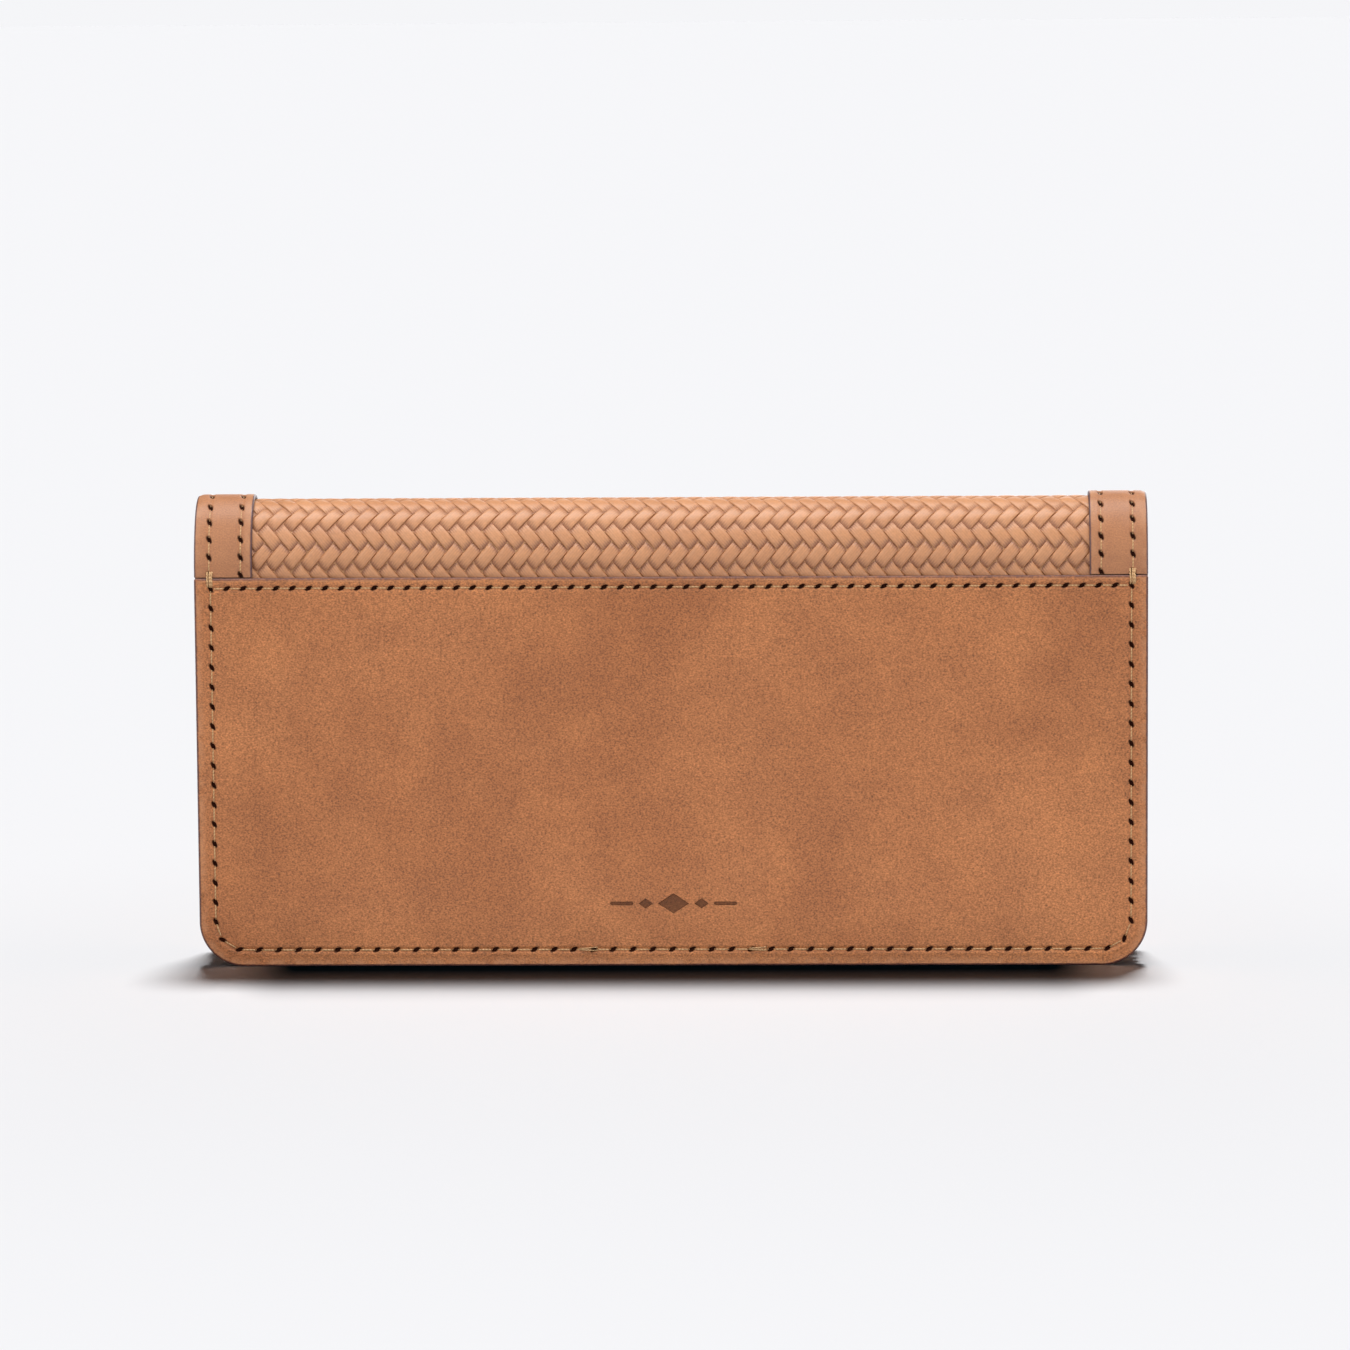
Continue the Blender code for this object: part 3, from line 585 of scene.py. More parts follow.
def leatherPanel(name, plan, seam=None, marks=(), windows=()):
    # a slab of leather between plan["face"] and plan["back"], with rounded burnished edges
    way = 1 if plan["back"] > plan["face"] else -1
    skin = Skin()
    first, last, found = addZone(skin, plan, seam, False)
    runs = [found]
    fronts, backs = [last], [first]
    for window in windows:
        inner = dict(plan, **window["plan"])
        near, far, holes = addZone(skin, inner, window.get("seam"), True)
        runs.append(holes)
        fronts.append(far)
        backs.append(near)
    simple = not (marks or windows)
    if simple:
        skin.faces.append(tuple(first[::-1] if way > 0 else first))
        skin.faces.append(tuple(last if way > 0 else last[::-1]))
    made = skin.build(name, plan["paint"])
    if not simple:
        fillFaces(made, fronts, backs, marks, plan["face"], way)
    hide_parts(*plan["for"])
    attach(made, plan["body"])
    lists = [seam] + [window.get("seam") for window in windows]
    for number, (found, used) in enumerate(zip(runs, lists)):
        if found:
            line, along, count = found
            places = holePlaces(line, along, count)
            thread = Skin()
            places = np.stack([places[:, 0], np.full(count, plan["face"]), places[:, 1]], 1)
            threadRun(thread, places, [(0, -way, 0)] * count, count)
            stitched = thread.build(f"{name}Stitches{number or ''}", "thread")
            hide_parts(*used["for"])
            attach(stitched, plan["body"])
    sharpen(made)
    sides = made.data.polygons  # the flat faces stay flat
    sides.foreach_set("use_smooth", [abs(side.normal.y) < 0.99999 for side in sides])


# millimetres in, millimetres deep, and stain
pressSteps = ((0.04, 0.03, 0.05), (0.09, 0.30, 0.42), (0.20, 0.38, 0.40))


def fillFaces(made, fronts, backs, marks, face, way):
    # fills both sides of a panel round its windows, and presses each mark's outline into the face
    bm = bmesh.new()
    bm.from_mesh(made.data)
    bm.verts.ensure_lookup_table()
    stainLayer = bm.verts.layers.float["hole"]
    flatLayer = bm.verts.layers.float_vector["flat"]
    pressed = [[bm.verts.new((x, face, z)) for x, z in mark] for mark in marks]
    bm.verts.ensure_lookup_table()
    for loops, facing in (([[bm.verts[i] for i in run] for run in fronts] + pressed, -way),
                          ([[bm.verts[i] for i in run] for run in backs], way)):
        edges = []
        for loop in loops:
            for a, b in zip(loop, loop[1:] + loop[:1]):
                edges.append(bm.edges.get((a, b)) or bm.edges.new((a, b)))
        filled = bmesh.ops.triangle_fill(bm, use_beauty=True, use_dissolve=False, edges=edges,
                                         normal=(0, facing, 0))
        for f in filled["geom"]:
            if isinstance(f, bmesh.types.BMFace):
                f.smooth = False
    for loop in pressed:
        centre = sum((v.co for v in loop), Vector()) / len(loop)
        above = loop
        for shrink, depth, stain in pressSteps:
            below = []
            for v in loop:
                pull = centre - v.co
                p = v.co + Vector((math.copysign(min(shrink * mm, abs(pull.x) * 0.8), pull.x), 0,
                                   math.copysign(min(shrink * mm, abs(pull.z) * 0.8), pull.z)))
                new = bm.verts.new((p.x, face + way * depth * mm, p.z))
                new[stainLayer] = stain
                below.append(new)
            for i in range(len(loop)):
                j = (i + 1) % len(loop)
                bm.faces.new((above[i], above[j], below[j], below[i])).smooth = True
            above = below
        bm.faces.new(above).smooth = True
    bmesh.ops.recalc_face_normals(bm, faces=bm.faces)
    for v in bm.verts:
        v[flatLayer] = v.co
    bm.to_mesh(made.data)
    bm.free()


# the fold over the spine

fold = {"depth": 9 * mm, "rise": 14 * mm}
fold["middle"] = (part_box("woven_back")[0].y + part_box("woven_front")[1].y) / 2
fold["base"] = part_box("woven_spine_2")[1].z - fold["rise"]
turnTable = np.radians(np.linspace(0, 180, 1441))


def ellipseAt(turn):
    t = np.arctan2(fold["rise"] * np.sin(turn), fold["depth"] * np.cos(turn))
    return -fold["depth"] * np.cos(t), fold["rise"] * np.sin(t)


tableY, tableZ = ellipseAt(turnTable)
lengthTable = np.concatenate([[0], np.cumsum(np.hypot(np.diff(tableY), np.diff(tableZ)))])
foldLength = float(lengthTable[-1])


def overFold(x, s, lift):
    # s runs from the back, up over the spine and down the front; lift is out of the weave's face
    x, s, lift = np.broadcast_arrays(np.asarray(x, float), s, lift)
    turn = np.interp(s, lengthTable, turnTable)
    y, z = ellipseAt(turn)
    z = z + np.minimum(s, 0) - np.maximum(s - foldLength, 0)
    ny, nz = -np.cos(turn), np.sin(turn)
    return np.stack([x, fold["middle"] + y + lift * ny, fold["base"] + z + lift * nz], -1)


def foldEnds(back, front):
    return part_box(back)[0].z - fold["base"], foldLength + fold["base"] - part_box(front)[0].z


def foldNormal(s):
    turn = np.interp(s, lengthTable, turnTable)
    return np.stack([np.zeros_like(turn), -np.cos(turn), np.sin(turn)], -1)


def lengthAt(degrees):
    return float(np.interp(math.radians(degrees), turnTable, lengthTable))


chain = ["shell", "spine_link_1", "spine_link_2", "spine_link_3", "flap"]
linkCuts = [lengthAt(turn) for turn in (45, 90, 135)]
spans = list(zip([-1.0, *linkCuts], [*linkCuts, 1.0]))  # the four stretches, open at both ends
bendHalf = 3.4 * mm
bendEnds = [lengthAt(22.5) - bendHalf, *linkCuts, lengthAt(157.5) + bendHalf]


def bendAcross(made, k):
    # the k-th stretch of the fold follows the two bodies on either side of hinge k
    start, end = (overFold(0, bendEnds[i], 0).tolist() for i in (k, k + 1))
    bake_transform(made, chain[k], chain[k + 1], start=start, end=end)


def foldNodes(layer):
    ends = ("back_lining", "flap_lining") if layer == "lining" else (layer + "_back", layer + "_front")
    return [ends[0], layer + "_spine_1", layer + "_spine_2", layer + "_spine_3", ends[1]]


def cornerIn(s, sStart, sEnd, r):
    # how far a strip's long edges stand in beside its rounded end corners
    d = np.clip(np.minimum(s - sStart, sEnd - s), 0, r)
    return r - np.sqrt(np.clip(r * r - (r - d) ** 2, 0, None))


def foldStrip(layer, paint, xs, sStart, sEnd, outer, inner, step,
              shape=None, seams=(), label=None, cornerR=0):
    # one layer of the fold: a closed strip with burnished long edges, in four stretches
    label = label or layer
    xs = np.asarray(xs, float)
    for k in range(4):
        low, high = max(spans[k][0], sStart), min(spans[k][1], sEnd)
        count = max(2, int(math.ceil((high - low) / step)) + 1)
        s = np.linspace(low, high, count)
        if cornerR:
            close = cornerR * (1 - np.cos(np.radians(np.linspace(0, 90, 9))))
            s = np.unique(np.round(np.concatenate([s, sStart + close, sEnd - close]).clip(low, high), 7))
        gridS, gridX = np.meshgrid(s, xs, indexing="ij")
        if cornerR:
            gridX = gridX * (1 - cornerIn(gridS, sStart, sEnd, cornerR) / max(abs(xs[0]), abs(xs[-1])))
        lift = np.full(gridX.shape, float(outer))
        hole = np.zeros(gridX.shape)
        for seam in seams:
            across = seam["x"] - gridX
            along = (gridS - seam["start"]) / seam["pitch"]
            half = 0.5 * seam["pitch"]
            inRun = (gridS > seam["start"] - half) & (gridS < seam["end"] + half)
            here = holeShape((along - np.round(along)) * seam["pitch"], across, seamLook) * inRun
            lift = lift - here * seamLook["holeDepth"] - inChannel(across) * seamLook["channelDepth"] * inRun
            # hole share: where the leather material paints shade into the stitch holes
            hole = np.maximum(hole, here)
        away = np.minimum(gridX - gridX[:, :1], gridX[:, -1:] - gridX)  # from the nearest long edge
        r = min(0.28 * mm, (outer - inner) * 0.45)
        roundOff = r * (1 - np.sqrt(np.clip(1 - (1 - np.clip(away / r, 0, 1)) ** 2, 0, 1)))
        bulge = shape(gridX, gridS) if shape else 0
        lift = lift - roundOff + bulge
        edge = 1 - smoothStep(away, 0.12 * mm, 0.55 * mm)
        rub = smoothStep(away, 0.2 * mm, 0.6 * mm) * (1 - smoothStep(away, 0.8 * mm, 1.8 * mm)) * 0.5
        top = overFold(gridX, gridS, lift)
        under = overFold(gridX, gridS, np.full(gridX.shape, float(inner)) + bulge)
        rows, columns = gridX.shape
        flat = np.stack([gridX, gridS, np.zeros_like(gridX)], -1)
        skin = Skin()
        skin.add(top, gridFaces(rows, columns, flip=True), edge=edge.ravel(), hole=hole.ravel(),
                 rub=rub.ravel(), flat=flat)
        skin.add(under, gridFaces(rows, columns), edge=np.where(away < 0.3 * mm, 1.0, 0.0).ravel(),
                 flat=flat + [0, 0, 2 * mm])
        size = rows * columns
        for i in range(rows - 1):
            a, b = i * columns, (i + 1) * columns
            skin.faces.append((a, b, b + size, a + size))
            a, b = a + columns - 1, b + columns - 1
            skin.faces.append((b, a, a + size, b + size))
        if k == 0:
            for c in range(columns - 1):
                skin.faces.append((c + 1, c, c + size, c + 1 + size))
        if k == 3:
            base = (rows - 1) * columns
            for c in range(columns - 1):
                skin.faces.append((base + c, base + c + 1, base + c + 1 + size, base + c + size))
        made = sharpen(skin.build(f"{label}Stretch{k + 1}", paint))
        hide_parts(*foldNodes(layer)[k:(5 if k == 3 else k + 1)])
        bendAcross(made, k)
    for seam in seams:
        foldStitches(seam, outer, label)


def foldStitches(seam, lift, label):
    count = int(round((seam["end"] - seam["start"]) / seam["pitch"]))
    s = seam["start"] + np.arange(count + 1) * seam["pitch"]
    for k in range(4):
        inside = [i for i in range(count) if spans[k][0] <= s[i] + seam["pitch"] / 2 < spans[k][1]]
        if not inside:
            continue
        skin = Skin()
        for i in inside:
            pair = s[i:i + 2]
            bulge = seam["shape"](np.full(2, seam["x"]), pair)
            threadRun(skin, overFold(seam["x"], pair, lift + bulge), foldNormal(pair), 1)
        made = skin.build(f"{label}{seam['name']}Stitches{k + 1}", "thread")
        bendAcross(made, k)


# woven leather

weave = {
    "across": 3.47 * mm, "up": 4.08 * mm, "firstRow": -1.05 * mm, "firstX": -80.03 * mm,
    "crown": 0.42 * mm, "sink": 0.46 * mm, "lie": -0.28 * mm,
    "backing": -0.42 * mm, "backingThick": 0.58 * mm,
    "ridge": 7.5 * mm, "ridgeLift": 0.10 * mm, "ridgeCalm": 0.5, "hem": 27.4 * mm, "underTrim": 11.0 * mm,
    "seed": 7, "wander": 0.05 * mm, "widthSpread": 0.015, "heightSpread": 0.05, "toneSpread": 0.25,
}


def wovenFloats():
    # strips pass over two and under two; each row of floats leans the other way from the next
    vs = np.array([-1.04, -1.0, -0.93, -0.8, -0.5, 0, 0.5, 0.8, 0.93, 1.0, 1.04])
    us = np.array([-1.12, -1.0, -0.88, -0.74, -0.5, -0.2, 0.2, 0.5, 0.74, 0.88, 1.0, 1.12])
    u, v = np.meshgrid(us, vs, indexing="ij")
    crown = weave["crown"] * (1 - 0.40 * v ** 2) * (1 - 0.45 * u ** 2)
    side = weave["sink"] * smoothStep(np.abs(v), 0.90, 1.05)
    dive = weave["sink"] * smoothStep(np.abs(u), 0.60, 1.12)
    height = crown - side - dive
    faces = gridFaces(len(us), len(vs))
    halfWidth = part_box("woven_back")[1].x - weave["underTrim"]
    farX = halfWidth + 4 * mm
    stop = foldLength + fold["base"] - weave["hem"]
    skins = [Skin() for _ in range(4)]
    random = np.random.default_rng(weave["seed"])
    row = 0
    s = weave["firstRow"]
    while s < stop:
        lean = 1 if row % 2 else -1
        start = weave["firstX"] + (weave["across"] / 2 if row % 2 else 0)
        x = start - math.floor((start + farX) / weave["across"]) * weave["across"]
        while x < farX:
            jolt = random.normal(0, 1, 5)
            du = (lean * weave["across"] / 2, weave["up"] / 2)
            dv = (-lean * weave["across"] / 4, weave["up"] / 4)
            wide = 1 + weave["widthSpread"] * jolt[0]
            px = x + u * du[0] + v * dv[0] * wide + jolt[1] * weave["wander"]
            ps = s + u * du[1] + v * dv[1] * wide + jolt[2] * weave["wander"]
            calm = np.exp(-((ps - foldLength * 0.47) / weave["ridge"]) ** 2)  # pressed flat over the ridge
            lift = height * (1 + weave["heightSpread"] * jolt[3]) * (1 - weave["ridgeCalm"] * calm)
            lift = lift + weave["lie"] + weave["ridgeLift"] * calm
            if (np.abs(px) <= halfWidth).any():
                px = np.clip(px, -halfWidth, halfWidth)
                k = next(i for i in range(4) if s < spans[i][1])
                order = faces if lean < 0 else [f[::-1] for f in faces]
                flat = np.stack([px, ps, np.full(px.shape, row * 0.3 * mm)], -1)
                tone = np.full(u.size, 0.5 + weave["toneSpread"] * jolt[4])
                skins[k].add(overFold(px, ps, lift), order, along=u.ravel(), across=v.ravel(),
                             calm=calm.ravel(), strip=tone, flat=flat)
            x += weave["across"]
        s += weave["up"]
        row += 1
    for k, skin in enumerate(skins):
        bendAcross(skin.build(f"wovenStrips{k + 1}", "woven"), k)
    print("weave:", sum(s.count for s in skins), "points")


def wovenBacking():
    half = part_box("woven_back")[1].x
    xs = np.linspace(-half, half, 39)
    foldStrip("woven", "lining", xs, *foldEnds("woven_back", "woven_front"), weave["backing"],
              weave["backing"] - weave["backingThick"], 1.2 * mm, label="wovenBacking")


wovenFloats()
wovenBacking()


# linings

liningCut = {"thick": 0.6 * mm, "corner": 9 * mm, "offFloor": 0.2 * mm}


def linings():
    low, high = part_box("back_lining")
    outer = fold["middle"] - low.y - fold["depth"]
    start, end = foldEnds("back_lining", "flap_lining")
    rim = np.array([0, 0.1, 0.25, 0.6]) * mm
    xs = np.concatenate([rim - high.x, np.linspace(4 * mm - high.x, high.x - 4 * mm, 60), high.x - rim[::-1]])
    foldStrip("lining", "lining", xs, start + liningCut["offFloor"], end, outer, outer - liningCut["thick"],
              1.0 * mm, cornerR=liningCut["corner"])


linings()


# trims over the ends of the fold

trimLayout = {
    "outerInset": 3.0 * mm, "innerInset": 2.3 * mm,
    "pitch": 3.45 * mm, "firstHole": 0.4 * mm, "lastHole": 1.6 * mm,
    "face": 0.95 * mm, "back": 0.15 * mm, "step": 0.22 * mm, "droop": 0.35 * mm, "droopWide": 1.6 * mm,
}
trimRim = (0, 0.08, 0.18, 0.3, 0.6, 1.2)  # points beside a long edge, in millimetres from it


def trims():
    look, pitch = trimLayout, trimLayout["pitch"]
    for side, name in ((-1, "trim_left"), (1, "trim_right")):
        low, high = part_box(name + "_back")
        bottom, end = foldEnds(name + "_back", name + "_front")
        outerX, innerX = (low.x, high.x) if side < 0 else (high.x, low.x)
        places = {"Outer": outerX - side * look["outerInset"], "Inner": innerX + side * look["innerInset"]}
        xs = [x + k * 0.16 * mm for x in places.values() for k in range(-5, 6)]
        xs += [low.x + off * mm for off in trimRim] + [high.x - off * mm for off in trimRim]
        xs += [(low.x + high.x) / 2 - mm, (low.x + high.x) / 2 + mm]

        def droop(x, s, outerX=outerX):
            near = 1 - smoothStep(np.abs(x - outerX), 0.0, look["droopWide"])
            turn = np.interp(s, lengthTable, turnTable)
            return -look["droop"] * near ** 1.5 * np.sin(turn) ** 2

        start = bottom + look["firstHole"]
        last = start + int((end - look["lastHole"] - start) / pitch) * pitch
        seams = [{"name": label, "x": x, "start": start, "end": last, "pitch": pitch, "shape": droop}
                 for label, x in places.items()]
        foldStrip(name, "trim", sorted(xs), bottom, end, look["face"], look["back"], look["step"],
                  droop, seams, camel(name))


trims()
print("fold ready")


# back panel

def lozenge(x, z, w, h):
    return [(x - w, z), (x, z - h), (x + w, z), (x, z + h)]


def bar(x0, x1, z, h):
    r = h / 2
    right = [(x1 - r + r * math.cos(a), z + r * math.sin(a)) for a in np.radians([-90, -45, 0, 45, 90])]
    left = [(x0 + r + r * math.cos(a), z + r * math.sin(a)) for a in np.radians([90, 135, 180, 225, 270])]
    return left + right


ornament = {
    "x": 0.3 * mm, "z": 12.6 * mm,
    "middle": (3.2 * mm, 2.1 * mm), "small": (1.5 * mm, 1.1 * mm), "smallAt": 5.6 * mm,
    "ruleAt": (8.0 * mm, 12.8 * mm), "rule": 0.85 * mm,
}
thickEdge = {"round": 0.38 * mm, "topBurn": 0.85}


def slabPlan(node, body, paint, lowR, topR=0.5 * mm, faceFront=True, step=1.5 * mm):
    low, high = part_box(node)
    face, back = (high.y, low.y) if faceFront else (low.y, high.y)
    return {"x": (low.x, high.x), "z": (low.z, high.z), "lowR": lowR, "topR": topR, "step": step,
            "face": face, "back": back, "paint": paint, "body": body, "for": [node]}


def backPanel():
    x, z = ornament["x"], ornament["z"]
    marks = [lozenge(x, z, *ornament["middle"])]
    for side in (-1, 1):
        marks.append(lozenge(x + side * ornament["smallAt"], z, *ornament["small"]))
        ends = sorted(x + side * place for place in ornament["ruleAt"])
        marks.append(bar(*ends, z, ornament["rule"]))
    plan = slabPlan("back_panel", "shell", "panel", 9 * mm, faceFront=False, step=0.2 * mm)
    seam = {"inset": 3.3 * mm, "topInset": 2.0 * mm, "pitch": 3.95 * mm, "pitchTop": 3.26 * mm,
            "for": ["back_panel_thread", "top_seam_thread"]}
    leatherPanel("backPanel", {**plan, **thickEdge}, seam, marks)


tackLook = {
    "knotInset": 3.1 * mm, "knotSpread": (-0.42, 0.06, 0.40), "knotThread": 0.19 * mm,
    "spans": ((-18.6 * mm, -15.0 * mm), (15.4 * mm, 18.9 * mm)), "seam": 3.3 * mm, "thread": 0.12 * mm,
}


def tacks():
    # thread tied over the panel's top edge at both ends, and where the seam starts and stops below
    (low, high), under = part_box("back_panel"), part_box("trim_left_back")[0].y
    face, top = low.y, high.z
    skin = Skin()
    for side in (-1, 1):
        for k, shift in enumerate(tackLook["knotSpread"]):
            x = side * (high.x - tackLook["knotInset"]) + shift * mm
            line = [(x, face + 0.1 * mm, top - 1.7 * mm), (x + 0.08 * mm, face - 0.1 * mm, top - 1.0 * mm),
                    (x, face - 0.12 * mm, top - 0.1 * mm),
                    (x - 0.05 * mm, (face + under) / 2, top + 0.25 * mm),
                    (x, under - 0.16 * mm, top + 0.7 * mm),
                    (x + 0.1 * mm * (k - 1), under + 0.1 * mm, top + 1.3 * mm)]
            threadTube(skin, line, tackLook["knotThread"] + 0.03 * k * mm)
    for x0, x1 in tackLook["spans"]:
        for lift, slope in ((0.36 * mm, 0.15 * mm), (-0.1 * mm, -0.09 * mm)):
            steps = zip(np.linspace(x0, x1, 9), np.linspace(-1, 1, 9))
            line = [(x, face - 0.16 * mm * (1 - t ** 6) + 0.1 * mm * t ** 6,
                     tackLook["seam"] + lift + slope * t) for x, t in steps]
            threadTube(skin, line, tackLook["thread"])
    made = skin.build("backPanelTacks", "thread")
    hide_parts("back_panel_thread")
    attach(made, "shell")


def threadTube(skin, line, r, sides=6):
    line = np.array(line, float)
    run = np.gradient(line, axis=0)
    run /= np.linalg.norm(run, axis=1)[:, None]
    out = np.cross(run, (1.0, 0.15, 0.1))
    out /= np.linalg.norm(out, axis=1)[:, None]
    side = np.cross(run, out)
    a = 2 * math.pi * np.arange(sides) / sides
    turned = np.cos(a)[None, :, None] * out[:, None] + np.sin(a)[None, :, None] * side[:, None]
    rings = line[:, None] + r * turned
    along = np.concatenate([[0], np.cumsum(np.linalg.norm(np.diff(line, axis=0), axis=1))]) * 1000
    skin.add(rings, tubeFaces(len(line), sides), along=np.repeat(along, sides),
             across=np.tile(a / 6.28, len(line)))


backPanel()
tacks()
print("back panel ready")


# flap band, front panel and the layers inside

def flapBand():
    plan = slabPlan("flap_band", "flap", "panel", 9 * mm, step=0.22 * mm)
    seam = {"inset": 3.2 * mm, "topInset": 2.0 * mm, "pitch": 3.9 * mm, "pitchTop": 3.3 * mm,
            "for": ["band_thread"]}
    leatherPanel("flapBand", {**plan, **thickEdge}, seam)


frontLook = {
    "seamInset": 2.8 * mm, "pitch": 3.6 * mm,
    "window": (76 * mm, 4 * mm), "windowR": 1.2 * mm, "windowSeam": 1.8 * mm, "windowPitch": 3.2 * mm,
}


def frontPanel():
    look = frontLook
    plan = slabPlan("front_panel", "front", "panel", 8 * mm, step=0.22 * mm)
    middle = (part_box("zip_tape_lower")[1].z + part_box("zip_tape_upper")[0].z) / 2
    wide, tall = look["window"]
    window = {"x": (-wide, wide), "z": (middle - tall, middle + tall), "lowR": look["windowR"],
              "topR": look["windowR"]}
    seam = {"inset": look["seamInset"], "topInset": look["seamInset"], "pitch": look["pitch"],
            "for": ["front_panel_thread"]}
    around = {"inset": look["windowSeam"], "topInset": look["windowSeam"], "pitch": look["windowPitch"],
              "for": ["zip_thread"]}
    leatherPanel("frontPanel", plan, seam, windows=[{"plan": window, "seam": around}])


def insideLayers():
    crease = {"inset": 1.6 * mm, "topInset": 1.6 * mm}
    for node, body, paint, lowR, seam in (
        ("back_stiffener", "shell", "board", 5, None),
        ("band_stiffener", "flap", "board", 8, None),
        ("card_slot_1", "shell", "card", 1, crease),
        ("card_slot_2", "shell", "card", 1, crease),
        ("card_slot_3", "shell", "card", 8, crease),
        ("card_slot_4", "shell", "card", 8, crease),
        ("pocket_lining", "front", "lining", 8, None),
        ("zip_tape_upper", "front", "tape", 0.5, None),
        ("zip_tape_lower", "front", "tape", 0.5, None),
    ):
        leatherPanel(camel(node), slabPlan(node, body, paint, lowR * mm), seam)


dividerLook = {"pitch": 3.2 * mm, "first": 5 * mm, "below": 1.6 * mm, "above": 1.2 * mm, "proud": 0.12 * mm}


def cardStitches():
    # one line down the middle, through every row of pockets, seen where each row stands out of the next
    skin = Skin()
    pitch, bottom = dividerLook["pitch"], dividerLook["first"]
    for k in (4, 3, 2, 1):
        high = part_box(f"card_slot_{k}")[1]
        y = high.y + dividerLook["proud"]
        count = int((high.z - dividerLook["below"] - bottom) / pitch)
        for z in bottom + np.arange(count) * pitch:
            threadRun(skin, [(0, y, z), (0, y, z + pitch)], [(0, 1, 0)] * 2, 1)
        bottom = high.z + dividerLook["above"]
    made = skin.build("cardStitches", "thread")
    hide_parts("card_divider_thread")
    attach(made, "shell")


gussetLook = {
    "tip": 82 * mm, "edge": 94 * mm, "tab": 91 * mm, "bend": 0.5 * mm, "round": 0.55 * mm, "thick": 0.4 * mm,
    "sag": 0.25 * mm, "cornerAt": 86 * mm, "cornerWide": 8.6 * mm, "cornerTall": 8.0 * mm,
}


def gussets():
    # thin folded leather between the two halves of the compartment, which opens out with it
    low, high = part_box("gusset_right")
    rear, front = low.y, high.y
    middle = (rear + front) / 2
    look = gussetLook
    half = look["thick"] / 2
    tip = look["tip"] + half
    path = [(look["edge"], rear + half), (look["tab"], rear + half),
            (tip + 3 * mm, (rear + middle) / 2 - 0.15 * mm)]
    for a in np.radians([-80, -50, -20, 0, 20, 50, 80]):
        path.append((tip + look["round"] * (1 - math.cos(a)), middle + look["bend"] * math.sin(a)))
    path += [(x, 2 * middle - y) for x, y in path[2::-1]]
    fine = []
    for (ax, ay), (bx, by) in zip(path, path[1:]):
        n = max(1, int(math.hypot(bx - ax, by - ay) / (0.8 * mm)))
        fine += [(ax + (bx - ax) * i / n, ay + (by - ay) * i / n) for i in range(n)]
    fine = np.array(fine + [path[-1]])
    for _ in range(3):
        fine[1:-1] = (fine[:-2] + 2 * fine[1:-1] + fine[2:]) / 4
    run = np.gradient(fine, axis=0)
    run /= np.linalg.norm(run, axis=1)[:, None]
    out = np.stack([-run[:, 1], run[:, 0]], 1)
    heights = np.linspace(low.z, high.z, 34)
    for side, name in ((-1, "gusset_left"), (1, "gusset_right")):
        skin = Skin()
        sheets = []
        for lift in (half, -half):
            line = fine + out * lift
            loose = smoothStep(tip + 8 * mm - fine[:, 0], 0, 8 * mm)
            sag = look["sag"] * np.outer(np.sin(heights * 300), loose)
            x = side * (line[:, 0][None, :] + sag)
            y = np.repeat(line[:, 1][None, :], len(heights), 0)
            corner = np.clip((x * side - look["cornerAt"]) / look["cornerWide"], 0, 1)
            bottom = low.z + look["cornerTall"] * (1 - np.sqrt(1 - corner ** 2))
            z = bottom + (high.z - bottom) * (heights[:, None] - low.z) / (high.z - low.z)
            sheets.append(np.stack([x, y, z], -1))
        rows, columns = len(heights), len(fine)
        rim = np.zeros((rows, columns))
        rim[-1] = rim[0] = 1
        rim[:, 0] = rim[:, -1] = 1
        flip = side > 0
        skin.add(sheets[0], gridFaces(rows, columns, flip=flip), edge=rim.ravel())
        skin.add(sheets[1], gridFaces(rows, columns, flip=not flip), edge=rim.ravel())
        skin.faces += rimFaces(rows, columns, flip=not flip)
        made = sharpen(skin.build(camel(name), "lining"))
        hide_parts(name)
        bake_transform(made, "shell", "front", start=(0, rear + 0.6 * mm, 0.03), end=(0, front - 0.6 * mm, 0.03))


bottomLook = {"thick": 0.6 * mm, "sag": 0.9 * mm, "ripple": 0.12 * mm}


def bottomGusset():
    low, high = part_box("bottom_gusset")
    ys = np.linspace(low.y, high.y, 13)
    xs = np.linspace(low.x, high.x, 81)
    t = (ys - ys[0]) / (ys[-1] - ys[0]) * 2 - 1
    top = high.z - bottomLook["sag"] * (1 - t ** 2)
    skin = Skin()
    x, y = np.meshgrid(xs, ys, indexing="ij")
    ripple = bottomLook["ripple"] * np.sin(x * 700) * (1 - np.abs(t)[None, :])
    for shift, flip in ((0, True), (-bottomLook["thick"], False)):
        z = np.repeat((top + shift)[None, :], len(xs), 0) + ripple
        skin.add(np.stack([x, y, z], -1), gridFaces(len(xs), len(ys), flip=flip), edge=0.0)
    skin.faces += rimFaces(len(xs), len(ys))
    made = sharpen(skin.build("bottomGusset", "lining"))
    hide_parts("bottom_gusset")
    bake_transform(made, "shell", "front", start=(0, low.y + 0.5 * mm, 0.001), end=(0, high.y - 0.5 * mm, 0.001))


flapBand()
frontPanel()
insideLayers()
cardStitches()
gussets()
bottomGusset()
print("inside ready")


# snap fastener and zip

snapLook = {  # radii
    "axis": 0.02 * mm, "shank": 1.6 * mm, "socketHole": 1.9 * mm, "socketLip": 3.3 * mm,
    "post": 1.5 * mm, "neck": 2.35 * mm, "bulb": 2.8 * mm,
}


